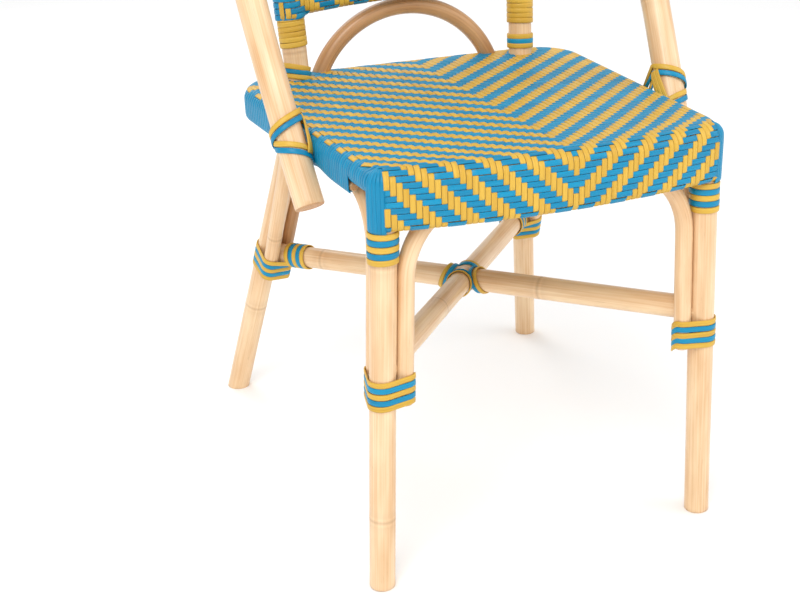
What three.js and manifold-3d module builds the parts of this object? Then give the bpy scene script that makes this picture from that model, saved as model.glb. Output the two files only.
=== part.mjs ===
// Rattan bistro chair with a woven seat and back, standing on the floor.
// Millimetres. X runs across the chair, the front is at -Y, Z is up.

import * as THREE from 'three';
import { mergeVertices } from 'three/addons/utils/BufferGeometryUtils.js';
import Module from 'manifold-3d';

const wasm = await Module();
wasm.setup();

// Room left wherever two pieces touch, and what a cut reaches past the piece it cuts.
const GAP = 0.3;
const CUT_PAST = 40;

// Front legs: straight canes, splayed a little sideways.
const FRONT_LEG_RADIUS = 13.5;
const FRONT_FOOT_X = 188.5;
const FRONT_FOOT_Y = -186;
const FRONT_SPLAY_SHARE = 0.042;

// Rear legs: one cane each, splayed below the seat and carried on above it as a post.
const REAR_LEG_RADIUS = 14.25;
const REAR_FOOT_X = 219;
const REAR_FOOT_Y = 329.5;
const REAR_SPLAY_SHARE = 0.18;
const REAR_RAKE_SHARE = 0.335;
const KNEE_BELOW_RAIL = 10.1;
const KNEE_RADIUS = 110;
const POST_OUT_SHARE = 0.036;
const POST_BACK_SHARE = 0.1024;
const POST_TOP = 697;

// Seat: its woven skin, its outline in plan and the canes inside its edge.
const SEAT_TOP = 451.4;
const SKIN = 3;
const WEAVE_ROOM = 0.9;
const SEAT_SIDE_FLARE_SHARE = 0.07;
const SEAT_BACK_Y = 226;
const SEAT_BACK_CORNER_RADIUS = 62;
const SEAT_FRONT_BOW = 18.5;
const SEAT_EDGE_RADIUS = 14.3;
const FRONT_APRON_BOTTOM = 391.5;
const RIM_APRON_BOTTOM = 413;
const SIDE_NOTCH_LENGTH = 41;
const RAIL_RADIUS = SEAT_EDGE_RADIUS - SKIN - WEAVE_ROOM;
const LATH_RADIUS = 4.5;

// Braces: thin canes bent to an upturned U under the seat.
const FRONT_BRACE_RADIUS = 9;
const SIDE_BRACE_RADIUS = 9.25;
const REAR_BRACE_RADIUS = 9;
const BRACE_PAST_LASH = 1;
const BRACE_BELOW_RAIL = 1.95;
const BRACE_BEND = 80;
const SIDE_BRACE_FRONT_BEND = 55;
const SIDE_BRACE_BEND = 45;
const SIDE_BRACE_SWING = 300;
const SIDE_BRACE_MIDDLE_Y = 20;
const SIDE_BRACE_BACK_X = 165;
const SIDE_BRACE_BACK_Y = 138;

// Stretchers: two straight canes halved into each other under the seat.
const STRETCHER_RADIUS = 13;
const STRETCHER_FRONT_HEIGHT = 247;
const STRETCHER_REAR_HEIGHT = 216;

// Outer hoop of the back, cut off square below the seat.
const HOOP_RADIUS = 15.5;
const HOOP_FOOT_HEIGHT = 384.5;
const HOOP_PASS_HEIGHT = 440;
const HOOP_PASS_Y = -44;
const HOOP_OUT_SHARE = 0.112;
const HOOP_BACK_SHARE = 0.6;
const HOOP_SPREAD = 16.4;
const HOOP_CLEARANCE = 0.6;

// Back panel between the posts, and the low arch under it.
const PANEL_BOTTOM = 520;
const PANEL_BOTTOM_RISE = 10;
const LOWER_RAIL_RADIUS = 8;
const TOP_RAIL_RADIUS = 10;
const TOP_RAIL_LIFT = 2;
const TOP_RAIL_BLEND_SHARE = 0.4;
const ARCH_RADIUS = 10;
const ARCH_BEND = 119.4;
const ARCH_BELOW_PANEL = 1.1;
const ARCH_Y = 212;

// Strand that binds the joints, wound side by side.
const STRAND_THICK = 1.3;
const STRAND_WIDE = 4.95;
const STRAND_PITCH = 5.45;
const STRAND_EDGE = 0.5;
const LEAST_GAP = 0.4;
const FLAT_BAND_THICK = 1.5;

// What each binding keeps from the edge or cane it lies next to.
const TOP_LASH_BELOW_APRON = 1;
const LOWER_LASH_BELOW_STRETCHER = 1.8;
const LOWER_LASH_UP_STRETCHER = 6;
const REAR_LASH_BELOW_STRETCHER = 6;
const REAR_LASH_TALL = 31;
const POST_LASH_ABOVE_SEAT = 2.1;
const POST_LASH_TALL = 14;
const POST_WRAP_BELOW_PANEL = 4;
const TIE_FROM_LEG = 37;
const BINDING_GAP = 0.8;
const BAND_OVERLAP = 0.3;
const SIDE_LASH_WIDE = 11;
const HOOP_TIE_WIDE = 12;
const TIE_ROOM = 1.3;
const HOOP_TIE_SPREAD = 88;
const CROSSING_LASH_WIDE = 12;
const CROSS_TILT_SHARE = 2;

// Loops in each wound binding.
const LASH_LOOPS = 5;
const WRAP_LOOPS = 6;

// How finely round things are drawn.
const THICK_SIDES = 14;
const HOOP_SIDES = 12;
const THIN_SIDES = 10;
const LATH_SIDES = 6;
const SIDE_BEND_STEPS = 5;
const LOOP_STEPS = 14;
const HULL_STEPS = 18;
const BAND_STEPS = 20;
const SLICE_SPOTS = 60;
const BOW_STEPS = 6;
const CORNER_STEPS = 5;
const SIDE_STEPS = 4;
const BACK_CORNER_STEPS = 6;
const BACK_STEPS = 2;
const ROLL_STEPS = 3;
const BEND_STEPS = 6;
const WIDE_BEND_STEPS = 10;
const HOOP_RISE_STEPS = 6;
const FULL_TURN = Math.PI + Math.PI;
const QUARTER_TURN = Math.PI / 2;

// Colour and finish of each material in the photo.
const RATTAN = { color: '#e3bf90', roughness: 0.5, metalness: 0 };
const RATTAN_DARK = { color: '#b98457', roughness: 0.5, metalness: 0 };
const YELLOW = { color: '#ddb64a', roughness: 0.45, metalness: 0 };
const BLUE = { color: '#1190c2', roughness: 0.45, metalness: 0 };

const sum = (a, b) => a.clone().add(b);
const minus = (a, b) => a.clone().sub(b);
const along = (a, b, share) => a.clone().lerp(b, share);
const at = (x, y, z) => new THREE.Vector3(x, y, z);
const stretch = (v, length) => v.clone().setLength(length);
const woundTall = (loops) => loops * STRAND_PITCH + STRAND_WIDE;
const KNEE_HEIGHT = SEAT_TOP - SEAT_EDGE_RADIUS - KNEE_BELOW_RAIL;
const ARCH_TOP = PANEL_BOTTOM + PANEL_BOTTOM_RISE - ARCH_BELOW_PANEL;
const ARCH_CENTRE_HEIGHT = ARCH_TOP - ARCH_RADIUS - ARCH_BEND;
const TOP_LASH_HEIGHT = FRONT_APRON_BOTTOM - TOP_LASH_BELOW_APRON - woundTall(LASH_LOOPS);
const LOWER_LASH_TOP = STRETCHER_FRONT_HEIGHT - STRETCHER_RADIUS + LOWER_LASH_UP_STRETCHER;
const LOWER_LASH_DIP = LOWER_LASH_UP_STRETCHER + LOWER_LASH_BELOW_STRETCHER + BINDING_GAP;
const LOWER_LASH_HEIGHT = LOWER_LASH_TOP - woundTall(LASH_LOOPS);
const REAR_LASH_HEIGHT = STRETCHER_REAR_HEIGHT - STRETCHER_RADIUS - REAR_LASH_BELOW_STRETCHER;
const POST_LASH_HEIGHT = SEAT_TOP + POST_LASH_ABOVE_SEAT;
const POST_WRAP_HEIGHT = PANEL_BOTTOM - POST_WRAP_BELOW_PANEL - woundTall(WRAP_LOOPS);
const FRONT_BRACE_END = LOWER_LASH_HEIGHT - BRACE_PAST_LASH;
const REAR_BRACE_END = REAR_LASH_HEIGHT - BRACE_PAST_LASH;
const UP = at(0, 0, 1);
const ACROSS = at(1, 0, 0);

// Closed shapes and cuts.

// A closed shape from rings of equal length, with a flat or fanned end at each open side.
function closedFromRings(rings, closeRound) {
  const positions = [];
  const faces = [];
  const count = rings[0].length;
  rings.forEach((ring) => ring.forEach((p) => positions.push(p.x, p.y, p.z)));
  const last = rings.length - 1;
  const bands = closeRound ? rings.length : last;
  for (let i = 0; i < bands; i += 1) {
    const next = i === last ? 0 : i + 1;
    for (let j = 0; j < count; j += 1) {
      const k = (j + 1) % count;
      const a = i * count + j;
      const b = i * count + k;
      const c = next * count + k;
      const d = next * count + j;
      faces.push(a, b, c, a, c, d);
    }
  }
  if (!closeRound) {
    [0, last].forEach((i) => {
      const middle = new THREE.Vector3();
      rings[i].forEach((p) => middle.add(p));
      middle.divideScalar(count);
      positions.push(middle.x, middle.y, middle.z);
      const m = positions.length / 3 - 1;
      for (let j = 0; j < count; j += 1) {
        const k = (j + 1) % count;
        if (i === 0) faces.push(m, i * count + k, i * count + j);
        else faces.push(m, i * count + j, i * count + k);
      }
    });
  }
  const geometry = new THREE.BufferGeometry();
  geometry.setAttribute('position', new THREE.Float32BufferAttribute(positions, 3));
  geometry.setIndex(faces);
  return outward(geometry);
}

// Six times the volume a closed shape holds, negative when its faces look inwards.
function signedBulk(geometry) {
  const p = geometry.attributes.position;
  const index = geometry.index.array;
  let total = 0;
  for (let i = 0; i < index.length; i += 3) {
    const [a, b, c] = [0, 1, 2].map((k) => new THREE.Vector3().fromBufferAttribute(p, index[i + k]));
    total += a.dot(b.cross(c));
  }
  return total;
}

function outward(geometry) {
  if (signedBulk(geometry) < 0) {
    const index = geometry.index.array;
    for (let i = 0; i < index.length; i += 3) {
      [index[i], index[i + 1]] = [index[i + 1], index[i]];
    }
  }
  return geometry;
}

function asSolid(geometry) {
  const bare = geometry.clone();
  bare.deleteAttribute('normal');
  bare.deleteAttribute('uv');
  const merged = mergeVertices(bare);
  return new wasm.Manifold(new wasm.Mesh({
    numProp: 3,
    vertProperties: new Float32Array(merged.attributes.position.array),
    triVerts: new Uint32Array(merged.index.array),
  }));
}

function asGeometry(solid) {
  const mesh = solid.getMesh();
  const geometry = new THREE.BufferGeometry();
  geometry.setAttribute('position', new THREE.Float32BufferAttribute(mesh.vertProperties, 3));
  geometry.setIndex(new THREE.BufferAttribute(new Uint32Array(mesh.triVerts), 1));
  return geometry;
}

function cut(geometry, tools) {
  let solid = asSolid(geometry);
  tools.forEach((tool) => {
    solid = solid.subtract(asSolid(tool));
  });
  return asGeometry(solid);
}

// Paths and canes.

// Points along a run of straight lines whose corners are rounded to the given bends.
function roundedPath(corners, bends, pieces) {
  const points = [corners[0]];
  for (let i = 1; i < corners.length - 1; i += 1) {
    const back = minus(corners[i - 1], corners[i]).normalize();
    const ahead = minus(corners[i + 1], corners[i]).normalize();
    const half = back.angleTo(ahead) / 2;
    const reach = bends[i - 1] / Math.tan(half);
    const middle = sum(back, ahead).setLength(bends[i - 1] / Math.sin(half)).add(corners[i]);
    const from = minus(sum(corners[i], stretch(back, reach)), middle);
    const to = minus(sum(corners[i], stretch(ahead, reach)), middle);
    const turn = from.angleTo(to);
    const axis = from.clone().cross(to).normalize();
    for (let k = 0; k <= pieces; k += 1) {
      points.push(sum(middle, from.clone().applyAxisAngle(axis, (turn * k) / pieces)));
    }
  }
  points.push(corners[corners.length - 1]);
  return points;
}

// A round section carried square along the points without twisting.
function sectionRings(points, radius, sides, closed) {
  const count = points.length;
  let side = null;
  return points.map((p, i) => {
    const before = points[closed ? (i + count - 1) % count : Math.max(i - 1, 0)];
    const after = points[closed ? (i + 1) % count : Math.min(i + 1, count - 1)];
    const ahead = minus(after, before).normalize();
    if (!side) side = Math.abs(ahead.z) < Math.SQRT1_2 ? UP.clone() : ACROSS.clone();
    side = minus(side, ahead.clone().multiplyScalar(side.dot(ahead))).normalize();
    const other = ahead.clone().cross(side);
    return Array.from({ length: sides }, (_, k) => {
      const angle = (FULL_TURN * k) / sides;
      return p.clone()
        .addScaledVector(side, Math.cos(angle) * radius)
        .addScaledVector(other, Math.sin(angle) * radius);
    });
  });
}

function cane(points, radius, sides) {
  return closedFromRings(sectionRings(points, radius, sides, false), false);
}

// A cane grown by the touching gap, to cut the pieces that meet it.
function caneCutter(points, radius, sides) {
  return cane(points, radius + GAP, sides);
}

// Everything under the floor, to cut a foot off level.
function underFloor(x, y) {
  const box = new THREE.BoxGeometry(CUT_PAST + CUT_PAST, CUT_PAST + CUT_PAST, CUT_PAST);
  return box.translate(x, y, -CUT_PAST / 2);
}

const mirrored = (points) => points.map((p) => at(-p.x, p.y, p.z));
const sided = (points, side) => (side < 0 ? mirrored(points) : points);

// Where the main lines of the chair run, for the right-hand side.

const frontLegAt = (z) => at(FRONT_FOOT_X - FRONT_SPLAY_SHARE * z, FRONT_FOOT_Y, z);
const rearLegAt = (z) => at(REAR_FOOT_X - REAR_SPLAY_SHARE * z, REAR_FOOT_Y - REAR_RAKE_SHARE * z, z);
const rearLegDown = at(REAR_SPLAY_SHARE, REAR_RAKE_SHARE, -1).normalize();

function postAt(z) {
  const knee = rearLegAt(KNEE_HEIGHT);
  const rise = z - KNEE_HEIGHT;
  return at(knee.x + POST_OUT_SHARE * rise, knee.y + POST_BACK_SHARE * rise, z);
}

// A step of given length from a slanted line, square to it and towards the wish.
function squareStep(direction, wish, length) {
  return minus(wish, direction.clone().multiplyScalar(wish.dot(direction))).setLength(length);
}

const RAIL_HEIGHT = SEAT_TOP - SEAT_EDGE_RADIUS;
const BRACE_TOP_HEIGHT = RAIL_HEIGHT - RAIL_RADIUS - BRACE_BELOW_RAIL - SIDE_BRACE_RADIUS;
const LEAN_ALLOWANCE = (FRONT_SPLAY_SHARE * (RAIL_HEIGHT - FRONT_APRON_BOTTOM)) / 2;
const SEAT_CORNER_RADIUS = FRONT_LEG_RADIUS + GAP + SKIN + LEAN_ALLOWANCE;
const SEAT_CORNER = frontLegAt((RAIL_HEIGHT + FRONT_APRON_BOTTOM) / 2);

// Half the seat's edge in plan, from the middle of the front to the middle of the back,
// each spot with the way that faces out.
function halfSeatEdge() {
  const spots = [];
  const bowTurn = Math.atan((SEAT_FRONT_BOW + SEAT_FRONT_BOW) / SEAT_CORNER.x);
  const bowX = SEAT_CORNER.x + SEAT_CORNER_RADIUS * Math.sin(bowTurn);
  const bowY = SEAT_CORNER.y - SEAT_CORNER_RADIUS * Math.cos(bowTurn);
  for (let i = 0; i < BOW_STEPS; i += 1) {
    const share = i / BOW_STEPS;
    const slope = ((SEAT_FRONT_BOW + SEAT_FRONT_BOW) * share) / bowX;
    spots.push({
      x: bowX * share,
      y: bowY - SEAT_FRONT_BOW * (1 - share * share),
      out: at(slope, -1, 0).normalize(),
      front: true,
    });
  }
  const flare = Math.atan(SEAT_SIDE_FLARE_SHARE);
  for (let i = 0; i <= CORNER_STEPS; i += 1) {
    const turn = bowTurn - QUARTER_TURN + ((QUARTER_TURN - bowTurn - flare) * i) / CORNER_STEPS;
    const out = at(Math.cos(turn), Math.sin(turn), 0);
    const spot = sum(SEAT_CORNER, out.clone().multiplyScalar(SEAT_CORNER_RADIUS));
    spots.push({ x: spot.x, y: spot.y, out, front: true });
  }
  const start = spots[spots.length - 1];
  const centreY = SEAT_BACK_Y - SEAT_BACK_CORNER_RADIUS;
  const sideEndY = centreY - SEAT_BACK_CORNER_RADIUS * Math.sin(flare);
  const sideEndX = start.x + SEAT_SIDE_FLARE_SHARE * (sideEndY - start.y);
  for (let i = 1; i < SIDE_STEPS; i += 1) {
    const share = (i * i) / (SIDE_STEPS * SIDE_STEPS);
    const y = start.y + (sideEndY - start.y) * share;
    spots.push({ x: start.x + SEAT_SIDE_FLARE_SHARE * (y - start.y), y, out: start.out, front: false });
  }
  const centreX = sideEndX - SEAT_BACK_CORNER_RADIUS * Math.cos(flare);
  for (let i = 0; i <= BACK_CORNER_STEPS; i += 1) {
    const turn = -flare + ((QUARTER_TURN + flare) * i) / BACK_CORNER_STEPS;
    const out = at(Math.cos(turn), Math.sin(turn), 0);
    const x = centreX + SEAT_BACK_CORNER_RADIUS * out.x;
    spots.push({ x, y: centreY + SEAT_BACK_CORNER_RADIUS * out.y, out, front: false });
  }
  for (let i = 1; i <= BACK_STEPS; i += 1) {
    spots.push({ x: centreX * (1 - i / BACK_STEPS), y: SEAT_BACK_Y, out: at(0, 1, 0), front: false });
  }
  return spots;
}

const HALF_EDGE = halfSeatEdge();

const inSpot = (spot, inset, z) => at(spot.x - spot.out.x * inset, spot.y - spot.out.y * inset, z);

// The whole edge as a ring, set in and at a height that may change along it.
function seatRing(inset, heightOf) {
  const right = HALF_EDGE.map((spot) => inSpot(spot, inset, heightOf(spot)));
  const left = mirrored(right).slice(1, -1).reverse();
  return [...right, ...left];
}

// The side of the seat at one distance from the front, measured in plan.
function seatSideX(y) {
  const side = HALF_EDGE.find((spot) => !spot.front);
  return side.x + SEAT_SIDE_FLARE_SHARE * (y - side.y);
}

// The apron is deeper in front than at the sides and the back.
function apronBottomAt(spot) {
  if (spot.front) return FRONT_APRON_BOTTOM;
  return RIM_APRON_BOTTOM;
}

// Frame canes.

const FRONT_LEG_PATH = [frontLegAt(-CUT_PAST), frontLegAt(SEAT_TOP + CUT_PAST)];
const REAR_CORNERS = [rearLegAt(-CUT_PAST / 2), rearLegAt(KNEE_HEIGHT), postAt(POST_TOP)];
const REAR_PATH = roundedPath(REAR_CORNERS, [KNEE_RADIUS], BEND_STEPS);

const legCutters = () => [-1, 1].flatMap((side) => [
  caneCutter(sided(FRONT_LEG_PATH, side), FRONT_LEG_RADIUS, THICK_SIDES),
  caneCutter(sided(REAR_PATH, side), REAR_LEG_RADIUS, THICK_SIDES),
]);

// A leg with a level foot and a top rounded off to lie under the woven corner.
function frontLeg(side) {
  const level = (z, radius) => {
    const middle = frontLegAt(z);
    return Array.from({ length: THICK_SIDES }, (_, k) => {
      const angle = (FULL_TURN * k) / THICK_SIDES;
      const x = middle.x + Math.cos(angle) * radius;
      return at(side * x, middle.y + Math.sin(angle) * radius, z);
    });
  };
  const rings = [level(0, FRONT_LEG_RADIUS), level(RAIL_HEIGHT, FRONT_LEG_RADIUS)];
  for (let i = 1; i < ROLL_STEPS; i += 1) {
    const turn = (QUARTER_TURN * i) / ROLL_STEPS;
    const radius = FRONT_LEG_RADIUS - RAIL_RADIUS * (1 - Math.cos(turn));
    rings.push(level(RAIL_HEIGHT + RAIL_RADIUS * Math.sin(turn), radius));
  }
  return closedFromRings(rings, false);
}

function rearLeg(side) {
  const path = sided(REAR_PATH, side);
  return cut(cane(path, REAR_LEG_RADIUS, THICK_SIDES), [underFloor(side * REAR_FOOT_X, REAR_FOOT_Y)]);
}

// A cane or lath inside the front edge, from leg to leg.
function frontPath(inset, height) {
  const right = HALF_EDGE.slice(0, BOW_STEPS).map((spot) => inSpot(spot, inset, height));
  right.push(inSpot(HALF_EDGE[BOW_STEPS], inset, height));
  return [...mirrored(right).slice(1).reverse(), ...right];
}

// A cane or lath inside the sides and the back, from one front leg round to the other.
function rimPath(inset, height) {
  const right = HALF_EDGE.filter((spot) => !spot.front).map((spot) => inSpot(spot, inset, height));
  const first = HALF_EDGE[BOW_STEPS + CORNER_STEPS];
  right.unshift(inSpot(first, inset, height));
  return [...right, ...mirrored(right).slice(0, -1).reverse()];
}

const RIM_PATH = rimPath(SEAT_EDGE_RADIUS, RAIL_HEIGHT);
const LATH_INSET = SKIN + GAP + LATH_RADIUS;
const FRONT_LATH_HEIGHT = FRONT_APRON_BOTTOM + SKIN + GAP + LATH_RADIUS;
const RIM_LATH_HEIGHT = RIM_APRON_BOTTOM + SKIN + GAP + LATH_RADIUS;
const BEHIND_LATH = LATH_INSET + LATH_RADIUS + GAP;

const FRONT_RAIL_PATH = frontPath(SEAT_EDGE_RADIUS, RAIL_HEIGHT);
const frontRail = () => cut(cane(FRONT_RAIL_PATH, RAIL_RADIUS, THIN_SIDES), legCutters());
const seatRim = () => cut(cane(RIM_PATH, RAIL_RADIUS, THIN_SIDES), legCutters());

// The side lath starts behind the notch that lets the side brace through the apron.
const NOTCH_FRONT_Y = HALF_EDGE[BOW_STEPS + CORNER_STEPS].y;
const NOTCH_BACK_Y = NOTCH_FRONT_Y + SIDE_NOTCH_LENGTH;

function rimLathPath() {
  const right = HALF_EDGE.filter((spot) => spot.y > NOTCH_BACK_Y && !spot.front);
  const points = right.map((spot) => inSpot(spot, LATH_INSET, RIM_LATH_HEIGHT));
  points.unshift(at(seatSideX(NOTCH_BACK_Y) - LATH_INSET, NOTCH_BACK_Y + GAP, RIM_LATH_HEIGHT));
  return [...points, ...mirrored(points).slice(0, -1).reverse()];
}

const FRONT_LATH_PATH = frontPath(LATH_INSET, FRONT_LATH_HEIGHT);
const frontLath = () => cut(cane(FRONT_LATH_PATH, LATH_RADIUS, LATH_SIDES), legCutters());
const rimLath = () => cut(cane(rimLathPath(), LATH_RADIUS, LATH_SIDES), legCutters());

const STRETCHER_FRONT = frontLegAt(STRETCHER_FRONT_HEIGHT);
const STRETCHER_REAR = rearLegAt(STRETCHER_REAR_HEIGHT);

// A stretcher runs from a front leg to the rear leg across from it.
const stretcherPath = (side) => [
  at(side * STRETCHER_FRONT.x, STRETCHER_FRONT.y, STRETCHER_FRONT.z),
  at(-side * STRETCHER_REAR.x, STRETCHER_REAR.y, STRETCHER_REAR.z),
];
const CROSSING_SHARE = STRETCHER_FRONT.x / (STRETCHER_FRONT.x + STRETCHER_REAR.x);
const CROSSING = along(stretcherPath(1)[0], stretcherPath(1)[1], CROSSING_SHARE);

const stretcherCutter = (side) => caneCutter(stretcherPath(side), STRETCHER_RADIUS, THICK_SIDES);
const stretcherCutters = () => [stretcherCutter(-1), stretcherCutter(1)];

// One stretcher keeps its lower half at the crossing and the other keeps its upper half.
function stretcher(side) {
  const other = asSolid(stretcherCutter(-side));
  const reach = STRETCHER_FRONT_HEIGHT - STRETCHER_REAR_HEIGHT + STRETCHER_RADIUS + STRETCHER_RADIUS;
  const block = new THREE.BoxGeometry(reach + reach, reach + reach, reach);
  const lift = reach / 2 - GAP / 2;
  block.translate(CROSSING.x, CROSSING.y, side < 0 ? CROSSING.z + lift : CROSSING.z - lift);
  const notch = asGeometry(other.intersect(asSolid(block)));
  return cut(cane(stretcherPath(side), STRETCHER_RADIUS, THICK_SIDES), [...legCutters(), notch]);
}

const bothSides = (points) => [...points, ...mirrored(points).reverse()];

function frontBracePath() {
  const inward = FRONT_LEG_RADIUS + GAP + FRONT_BRACE_RADIUS;
  const corners = [FRONT_BRACE_END, BRACE_TOP_HEIGHT].map((z) => frontLegAt(z).sub(at(inward, 0, 0)));
  return roundedPath(bothSides(corners), [BRACE_BEND, BRACE_BEND], BEND_STEPS);
}

function rearBracePath() {
  const inward = squareStep(rearLegDown, at(-1, 0, 0), REAR_LEG_RADIUS + GAP + REAR_BRACE_RADIUS);
  const low = sum(rearLegAt(REAR_BRACE_END), inward);
  const high = sum(rearLegAt(BRACE_TOP_HEIGHT), inward);
  high.y = SEAT_BACK_Y - BEHIND_LATH - REAR_BRACE_RADIUS;
  high.z = BRACE_TOP_HEIGHT;
  return roundedPath(bothSides([low, high]), [BRACE_BEND, BRACE_BEND], BEND_STEPS);
}

// The side brace rises behind the front leg with room for its lash, touches the rim lath in
// the middle of the side and swings in to end in front of the rear leg.
function sideBracePath() {
  const behind = FRONT_LEG_RADIUS + GAP + SIDE_BRACE_RADIUS;
  const low = frontLegAt(FRONT_BRACE_END).add(at(0, behind, 0));
  const inset = BEHIND_LATH + SIDE_BRACE_RADIUS;
  const lashRoom = BINDING_GAP + STRAND_THICK + BINDING_GAP;
  const lean = lashRoom / (TOP_LASH_HEIGHT - FRONT_BRACE_END);
  const highY = low.y + lean * (BRACE_TOP_HEIGHT - FRONT_BRACE_END);
  const high = at(seatSideX(highY) - inset, highY, BRACE_TOP_HEIGHT);
  const middle = at(seatSideX(SIDE_BRACE_MIDDLE_Y) - inset, SIDE_BRACE_MIDDLE_Y, BRACE_TOP_HEIGHT);
  const back = at(SIDE_BRACE_BACK_X, SIDE_BRACE_BACK_Y, BRACE_TOP_HEIGHT);
  const before = squareStep(rearLegDown, at(0, -1, 0), REAR_LEG_RADIUS + GAP + SIDE_BRACE_RADIUS);
  const end = sum(rearLegAt(REAR_BRACE_END), before);
  const bends = [SIDE_BRACE_FRONT_BEND, SIDE_BRACE_SWING, SIDE_BRACE_BEND];
  return roundedPath([low, high, middle, back, end], bends, SIDE_BEND_STEPS);
}

const frontBrace = () => cut(cane(frontBracePath(), FRONT_BRACE_RADIUS, THIN_SIDES), stretcherCutters());
const rearBrace = () => cut(cane(rearBracePath(), REAR_BRACE_RADIUS, THIN_SIDES), stretcherCutters());

function sideBrace(side) {
  return cut(cane(sided(sideBracePath(), side), SIDE_BRACE_RADIUS, THIN_SIDES), stretcherCutters());
}

// Back: hoop, arch, rails.

const TOP_RAIL_CENTRE = POST_TOP + TOP_RAIL_LIFT;
const TOP_RAIL_BEND = postAt(POST_TOP).x;
const PANEL_TOP = TOP_RAIL_CENTRE + TOP_RAIL_BEND + TOP_RAIL_RADIUS + WEAVE_ROOM + SKIN;
const hoopY = (z) => HOOP_PASS_Y + HOOP_BACK_SHARE * (z - HOOP_PASS_HEIGHT);
const HOOP_PASS_X = seatSideX(hoopY(RIM_APRON_BOTTOM)) + HOOP_CLEARANCE + HOOP_RADIUS;
const HOOP_HALF = HOOP_PASS_X + HOOP_SPREAD;
const HOOP_SPRING_HEIGHT = PANEL_TOP + GAP + HOOP_RADIUS - HOOP_HALF;
const panelY = (z) => postAt(z).y;

// Half the hoop, from its foot past the seat to its highest spot. It clears the apron's
// bottom edge by the touching gap, straightens up, then turns over in an arch.
function halfHoop() {
  const footX = HOOP_PASS_X - HOOP_OUT_SHARE * (RIM_APRON_BOTTOM - HOOP_FOOT_HEIGHT);
  const turnHeight = HOOP_FOOT_HEIGHT + (HOOP_HALF - footX) / HOOP_OUT_SHARE;
  const rise = new THREE.QuadraticBezierCurve(
    new THREE.Vector2(footX, HOOP_FOOT_HEIGHT),
    new THREE.Vector2(HOOP_HALF, turnHeight),
    new THREE.Vector2(HOOP_HALF, HOOP_SPRING_HEIGHT),
  );
  const points = rise.getPoints(HOOP_RISE_STEPS).map((p) => at(p.x, hoopY(p.y), p.y));
  for (let i = 1; i <= WIDE_BEND_STEPS; i += 1) {
    const turn = (QUARTER_TURN * i) / WIDE_BEND_STEPS;
    const z = HOOP_SPRING_HEIGHT + HOOP_HALF * Math.sin(turn);
    points.push(at(HOOP_HALF * Math.cos(turn), hoopY(z), z));
  }
  return points;
}

const HALF_HOOP = halfHoop();
const FULL_HOOP = [...HALF_HOOP, ...mirrored(HALF_HOOP).slice(0, -1).reverse()];
const hoop = () => cane(FULL_HOOP, HOOP_RADIUS, HOOP_SIDES);

// The low arch is part of a circle standing upright on the back of the rim.
function archPath() {
  const foot = Math.asin((RAIL_HEIGHT - ARCH_CENTRE_HEIGHT) / ARCH_BEND);
  const points = [];
  for (let i = 0; i <= WIDE_BEND_STEPS; i += 1) {
    const turn = foot + ((Math.PI - foot - foot) * i) / WIDE_BEND_STEPS;
    points.push(at(ARCH_BEND * Math.cos(turn), ARCH_Y, ARCH_CENTRE_HEIGHT + ARCH_BEND * Math.sin(turn)));
  }
  return points;
}

const rimCutter = () => caneCutter(RIM_PATH, RAIL_RADIUS, THIN_SIDES);
const rearArch = () => cut(cane(archPath(), ARCH_RADIUS, THIN_SIDES), [rimCutter()]);

// The top rail springs from the posts and lies in their leaning plane.
function topRailPath() {
  const points = [];
  const steps = WIDE_BEND_STEPS + WIDE_BEND_STEPS;
  for (let i = 0; i <= steps; i += 1) {
    const turn = (Math.PI * i) / steps;
    const z = TOP_RAIL_CENTRE + TOP_RAIL_BEND * Math.sin(turn);
    points.push(at(TOP_RAIL_BEND * Math.cos(turn), panelY(z), z));
  }
  return points;
}

const topRail = () => cut(cane(topRailPath(), TOP_RAIL_RADIUS, LATH_SIDES), legCutters());

const lowerEdgeZ = (x) => {
  const share = Math.min(Math.abs(x) / postAt(PANEL_BOTTOM).x, 1);
  return PANEL_BOTTOM + PANEL_BOTTOM_RISE * (1 - share * share);
};

function lowerRail() {
  const half = postAt(PANEL_BOTTOM).x;
  const points = [];
  for (let i = -SIDE_STEPS; i <= SIDE_STEPS; i += 1) {
    const x = (half * i) / SIDE_STEPS;
    const z = lowerEdgeZ(x) + SKIN + WEAVE_ROOM + LOWER_RAIL_RADIUS;
    points.push(at(x, panelY(z), z));
  }
  return cut(cane(points, LOWER_RAIL_RADIUS, LATH_SIDES), legCutters());
}

// Woven skins.

// The seat is one skin: flat top, edge rolled over the canes, apron down to its turn.
function seatSkin() {
  const rings = [];
  const roll = (radius, i) => {
    const turn = (QUARTER_TURN * i) / ROLL_STEPS;
    const inset = SEAT_EDGE_RADIUS - radius * Math.cos(turn);
    return seatRing(inset, () => RAIL_HEIGHT + radius * Math.sin(turn));
  };
  for (let i = ROLL_STEPS; i >= 0; i -= 1) rings.push(roll(SEAT_EDGE_RADIUS, i));
  rings.push(seatRing(0, apronBottomAt));
  rings.push(seatRing(SKIN, apronBottomAt));
  for (let i = 0; i <= ROLL_STEPS; i += 1) rings.push(roll(SEAT_EDGE_RADIUS - SKIN, i));
  const archHole = caneCutter(archPath(), ARCH_RADIUS, THIN_SIDES);
  const cutters = [...postCutters(), archHole, ...sideLashCutters(), ...notchCutters()];
  return cut(closedFromRings(rings, false), cutters);
}

// Behind each front leg the strands turn under the rim alone, so the apron has a notch.
function notchCutters() {
  const low = FRONT_APRON_BOTTOM - SKIN;
  const high = RAIL_HEIGHT - RAIL_RADIUS;
  return [-1, 1].map((side) => {
    const block = new THREE.BoxGeometry(CUT_PAST, SIDE_NOTCH_LENGTH, high - low);
    block.translate(side * seatSideX(NOTCH_FRONT_Y), (NOTCH_FRONT_Y + NOTCH_BACK_Y) / 2, (low + high) / 2);
    return block;
  });
}

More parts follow.
